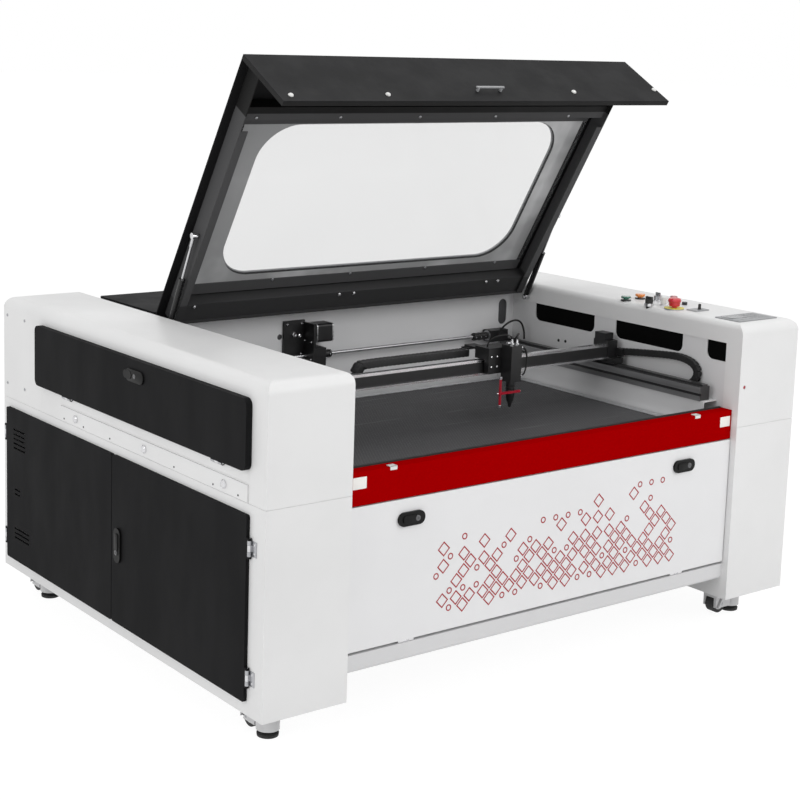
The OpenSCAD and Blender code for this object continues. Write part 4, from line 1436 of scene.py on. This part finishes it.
@dataclass
class ControlsDetail:
    """Caps, rings and the membrane pad of the operator's controls."""

    top: float = 920.0
    stop: Pair = (739.0, -412.0)
    green: Pair = (723.0, -225.0)
    orange: Pair = (791.0, -221.0)
    white: Pair = (761.0, -349.0)
    key: Pair = (802.0, -286.0)
    knob: Pair = (712.0, -333.0)
    toggle: Pair = (792.0, -466.0)
    plate: Pair = (787.0, -464.0)
    spare: Pair = (826.0, -330.0)
    lamp: Pair = (830.0, -372.0)
    keypad: Pair = (813.0, -629.0)

    def on(self, shell: Skin, spot: Pair) -> Skin:
        """Sets a shell on the panel."""
        return shell.at((*spot, self.top))

    def turned(self, profile: Outline, spot: Pair, sides: int = 40) -> Skin:
        """Turns a profile and sets it on the panel."""
        return self.on(lathe(profile, sides), spot)

    def ring(self, spot: Pair, inner: float, outer: float, low: float, high: float) -> Skin:
        """A ring with a rounded rim standing from low to high above the panel."""
        soft = min(0.8, (high - low) / 3)
        rim = [(outer, high - soft), (outer - soft, high)]
        return self.turned([(inner, low), (outer, low), *rim, (inner, high)], spot)

    def build(self, maker: Maker) -> None:
        """Makes the caps, rings and the membrane pad."""
        disc = self.ring(self.stop, 11, 30.2, 3.0, 4.2)
        maker.piece("stop_disc", disc, YELLOW, "frame")
        dark = [self.ring(spot, 11, 16.3, 0.0, 4.4) for spot in (self.green, self.orange)]
        dark.append(self.ring(self.lamp, 3, 8.3, 0.0, 9.4))
        maker.piece("button_rings", dark, GLOSS_BLACK, "frame")
        bright = [
            self.ring(spot, 11, outer, 0.0, high)
            for spot, outer, high in (
                (self.key, 18.3, 6.2), (self.knob, 14.3, 8.2), (self.white, 14.3, 3.3)
            )
        ]
        maker.piece("chrome_rings", bright, CHROME, "frame")
        cap = [(11.5, 0.2), (11.3, 20.0), (9.0, 22.3), (TIP, 22.4)]
        maker.piece(
            "spare_cap", self.turned(cap, self.spare, 32), STOP_RED, "frame"
        )
        self.caps(maker)
        self.membrane(maker)

    def caps(self, maker: Maker) -> None:
        """Makes the caps that move with their buttons, and the switch boots."""
        low = 8.9
        for name, spot, finish, high in (
            ("green", self.green, GREEN, 14.3),
            ("orange", self.orange, ORANGE, 16.3),
        ):
            skirt = [(12.9, low), (15.2, low), (15.4, low + 1), (15.4, high - 1.6)]
            skirt = self.turned([*skirt, (14.4, high), (TIP, high + 0.3)], spot)
            maker.piece(f"{name}_cap", skirt, finish, f"{name}_push")
        shroud = [(13.2, 9.4), (16.0, 9.4), (16.8, 11), (17.4, 20), (17.4, 21)]
        shroud = self.turned(shroud, self.stop)
        maker.piece("stop_shroud", shroud, STOP_RED, "stop_push")
        boot = [(5.0, 5.4), (4.9, 6.4), (4.6, 8.0), (4.4, 18.0), (3.4, 19.4), (TIP, 19.6)]
        boot = self.turned(boot, self.toggle, 20)
        maker.piece("toggle_boot", boot, BLACK, "toggle_lever")
        mark = self.on(brick((-1.2, -6.0, 29.0), (1.2, 6.0, 29.25), 0.4, 0.05), self.knob)
        maker.piece("knob_mark", mark, PALE, "knob_turn")

    def membrane(self, maker: Maker) -> None:
        """Makes the pad's screen, its rows of blank keys and its corner screws."""
        x, y = self.keypad
        film = self.top + 3.0
        face = pad(166, 90, 0.5, 4.0, 0.2).at((x, y, film - 0.5))
        maker.piece("keypad_face", face, PANEL, "frame")
        screen = pad(70, 44, 0.7, 3.0, 0.2).at((x - 38, y + 14, film))
        maker.piece("keypad_screen", screen, SCREEN, "frame")
        keys = [(x + 14 + 17 * i, y + 30 - 14.5 * j, film) for i in range(4) for j in range(5)]
        keys += [(x - 66 + 18.5 * i, y - 28, film) for i in range(4)]
        keys = pad(12.5, 9.5, 0.6, 2.0, 0.3).repeated(keys)
        maker.piece("keypad_keys", keys, GREY, "frame")
        x, y = self.plate
        heads = [(x + sx * 25, y + sy * 14, film) for sx in (-1, 1) for sy in (-1, 1)]
        maker.piece("plate_screws", screw(2.4, 1.0).repeated(heads), ZINC, "frame")


@dataclass
class StrutDetail:
    """Ball joints, brackets and seals at the ends of the two gas struts."""

    x: float = 685.0
    foot: Pair = (195.0, 876.0)
    stud: Pair = (62.0, 1161.0)

    def build(self, maker: Maker) -> None:
        """Makes both struts' fittings, each on the body it belongs to."""
        run = np.array(self.stud) - np.array(self.foot)
        length = float(np.linalg.norm(run))
        way = run / length
        ball = [(TIP, -8.5), (6.0, -7.0), (8.5, -2.5), (8.5, 2.5), (6.0, 7.0), (TIP, 8.5)]
        eye = [(TIP, -7.2), (7.0, -6.8), (9.4, -5.0), (9.4, 5.0), (7.0, 6.8), (TIP, 7.2)]
        pin = 15.5
        for name, side in (("left", -1.0), ("right", 1.0)):
            x = side * self.x
            tube, piston = f"strut_{name}_tube", f"strut_{name}_piston"
            top = lathe(ball, 24).at((x, *self.stud), Axis.X)
            stem = self.rod(x, way, length - 34, length - 8, 5.6)
            maker.piece(f"strut_end_{name}", [top, stem], CHROME, piston)
            gland = self.rod(x, way, 166.0, 173.3, 9.3)
            maker.piece(f"strut_gland_{name}", gland, GLOSS_BLACK, tube)
            low = lathe(eye, 24).at((x, *self.foot), Axis.X)
            maker.piece(f"strut_eye_{name}", low, CHROME, tube)
            start = x if side < 0 else x - pin
            pieces = [
                lathe([(4.4, 0), (4.4, pin)], 16).at((start, *self.stud), Axis.X),
                nut(13.0, 5.0).at((x - side * 9.0 - 2.5, *self.stud), Axis.X),
            ]
            maker.piece(f"strut_stud_{name}", pieces, CHROME, "lid_body")

    def rod(self, x: float, way: Array, low: float, high: float, radius: float) -> Skin:
        """A round bar on the strut's own line between two distances from its foot."""
        path = np.array([(x, *(self.foot + way * reach)) for reach in (low, high)])
        return hose(path, radius, 20, (1.0, 0.0, 0.0))


@dataclass
class CasterDetail:
    """Tyres, hub screws and the levelling foot's ring on each caster."""

    pad_x: float = 855.0
    pad_y: float = 600.0
    trail: float = 62.0
    axle_z: float = 33.0
    disc: float = 0.7
    bolt: float = 3.0

    def build(self, maker: Maker) -> None:
        """Makes the detail of the four casters.

        The left casters trail to the back, so their axles lie along X, and the right ones trail
        to the left, with their axles along Y.
        """
        foot = lathe([(26.2, 0.6), (27.4, 0.8), (28.2, 7.6), (27.2, 8.6), (13.0, 14.4)], 40)
        ring = lathe([(29.0, 45.8), (30.4, 46.0), (30.4, 52.0), (29.0, 53.0), (17.2, 53.2)], 40)
        tread = Skin.joined([foot, ring])
        for depth, sy in (("front", -1), ("rear", 1)):
            for hand, sx in (("left", -1), ("right", 1)):
                end = f"{depth}_{hand}"
                base = np.array([sx * self.pad_x, sy * self.pad_y, 0.0])
                left = sx < 0
                axis = Axis.X if left else Axis.Y
                across = np.array(axis.value)
                trail = (0.0, self.trail) if left else (-self.trail, 0.0)
                hub = base + (*trail, self.axle_z)
                discs, bolts = [], []
                for side in (-1.0, 1.0):
                    face = hub + across * (14.05 if side > 0 else -14.05 - self.disc)
                    discs.append(lathe([(20.0, 0), (20.0, self.disc)], 32).at(face, axis))
                    face = hub + across * (side * 22.6 - self.bolt / 2)
                    bolts.append(lathe([(6.5, 0), (6.5, self.bolt)], 6).at(face, axis))
                maker.piece(f"hub_discs_{end}", discs, CASTER, f"roller_{end}")
                maker.piece(f"axle_nuts_{end}", bolts, ZINC, f"roller_{end}")
                maker.piece(f"foot_rubber_{end}", tread.at(base), RUBBER, f"fork_{end}")


@dataclass
class RearDetail:
    """Screws of the back sheet and of the fixed panels on the right side."""

    back_y: float = 612.0
    side_x: float = 959.5

    def build(self, maker: Maker) -> None:
        """Makes the screws of the hidden faces."""
        back = [
            (x, self.back_y, z)
            for x in (-660.0, -220.0, 220.0, 660.0)
            for z in (230.0, 560.0, 870.0)
        ]
        heads = CAP_SCREW.turned(spin(-90)).repeated(back)
        maker.piece("back_screws", heads, ZINC, "frame")
        side = [(self.side_x, y, z) for y in (-610.0, 640.0) for z in (150.0, 565.0)]
        maker.piece("panel_screws", CAP_SCREW.repeated(side, Axis.X), ZINC, "frame")


# ------------------------------------------------------------------------- main

ENDS = ("front_left", "front_right", "rear_left", "rear_right")
DRESS: tuple[tuple[Finish, tuple[str, ...]], ...] = (
    (BRIGHT, ("front_door",)),
    (PLINTH, ("base_rail",)),
    (WHITE, tuple(f"housing_{part}" for part in (
        "lower_left", "lower_right", "upper_left", "upper_right"
    ))),
    (DARK, ("door_upper_left", "door_front_left", "door_rear_left", "service_panels")),
    (DARK, ("rear_cover", "chassis")),
    (LID_DARK, ("lid",)),
    (REAR, ("rear_body",)),
    (INNER, ("work_chamber",)),
    (RED, ("front_band",)),
    (RUBBER, ("lid_seal",)),
    (RAIL, ("y_rails",)),
    (ANODISED, ("gantry_drive", "gantry_beam", "carriage", "lens_tube")),
    (SHAFT, ("drive_shaft",)),
    (GUIDE, ("gantry_rails",)),
    (BLACK, ("x_drag_chain", "y_drag_chain")),
    (LATCH, ("latch_upper_left", "latch_lower_left", "latch_front_left", "latch_front_right")),
    (BLACK, ("selector_knob", "toggle_switch")),
    (ZINC, ("key_switch", "rear_services", "lift_screws")),
    (ALLOY, ("table_frame",)),
    (CHROME, ("strut_rod_left", "strut_rod_right")),
    (GLOSS_BLACK, ("strut_body_left", "strut_body_right")),
    (CRIMSON, ("focus_pen",)),
    (COMB, ("honeycomb",)),
    (TUBE, ("laser_tube",)),
    (SUPPLY, ("power_supply",)),
    (PANE, ("lid_window",)),
    (GREY, ("control_panel",)),
    (GREEN, ("button_green",)),
    (ORANGE, ("button_orange",)),
    (PALE, ("button_white",)),
    (STOP_RED, ("emergency_stop",)),
    (CASTER, tuple(f"caster_{end}" for end in ENDS)),
    (BLACK, tuple(f"wheel_{end}" for end in ENDS)),
    (CHROME, ("hinges",)),
    (PITCH, ("window_covers",)),
)
X_CHAIN = (
    (378.0, 754.5), (-240.0, 754.5), (-268.0, 758.5), (-284.0, 775.0), (-272.0, 792.0),
    (-245.0, 799.0), (0.0, 799.5), (123.0, 799.5),
)
Y_CHAIN = (
    (103.0, 704.0), (-300.0, 704.0), (-480.0, 704.0), (-524.0, 710.0), (-552.0, 728.0),
    (-563.0, 751.0), (-552.0, 772.0), (-520.0, 785.0), (-465.0, 788.0), (-350.0, 777.0),
    (-249.0, 765.0), (-228.0, 763.0),
)
DETAILS: tuple[Any, ...] = (
    FrontPanel(),
    LatchFace("access_latch_left", (-500.0, -695.0, 525.0), Axis.FRONT, (84.0, 36.0), 7.4),
    LatchFace("access_latch_right", (500.0, -695.0, 525.0), Axis.FRONT, (84.0, 36.0), 7.4),
    LatchFace("lower_latch", (-960.0, -22.0, 347.0), Axis.LEFT, (34.0, 96.0), 6.4),
    SwingHandle(),
    HousingDetail(),
    LidDetail(),
    ChamberDetail(),
    ShaftDetail(),
    HeadDetail(),
    CableChain("x_chain_links", "x_drag_chain", "gantry", X_CHAIN, (-178.0, -146.0), 21.0, False),
    CableChain("y_chain_links", "y_drag_chain", "frame", Y_CHAIN, (682.5, 699.0), 20.0, True),
    ControlsDetail(),
    StrutDetail(),
    CasterDetail(),
    RearDetail(),
)


def main() -> None:
    """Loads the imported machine, builds the room, the finishes and the detail."""
    logging.basicConfig(level=logging.INFO, format="%(name)s: %(message)s")
    maker = Maker(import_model())
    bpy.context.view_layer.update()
    Studio().build()
    for finish, nodes in DRESS:
        maker.dress(finish, *nodes)
    for group in DETAILS:
        group.build(maker)
    LOG.info("%d pieces made", len(maker.made))


if __name__ == "__main__":
    main()
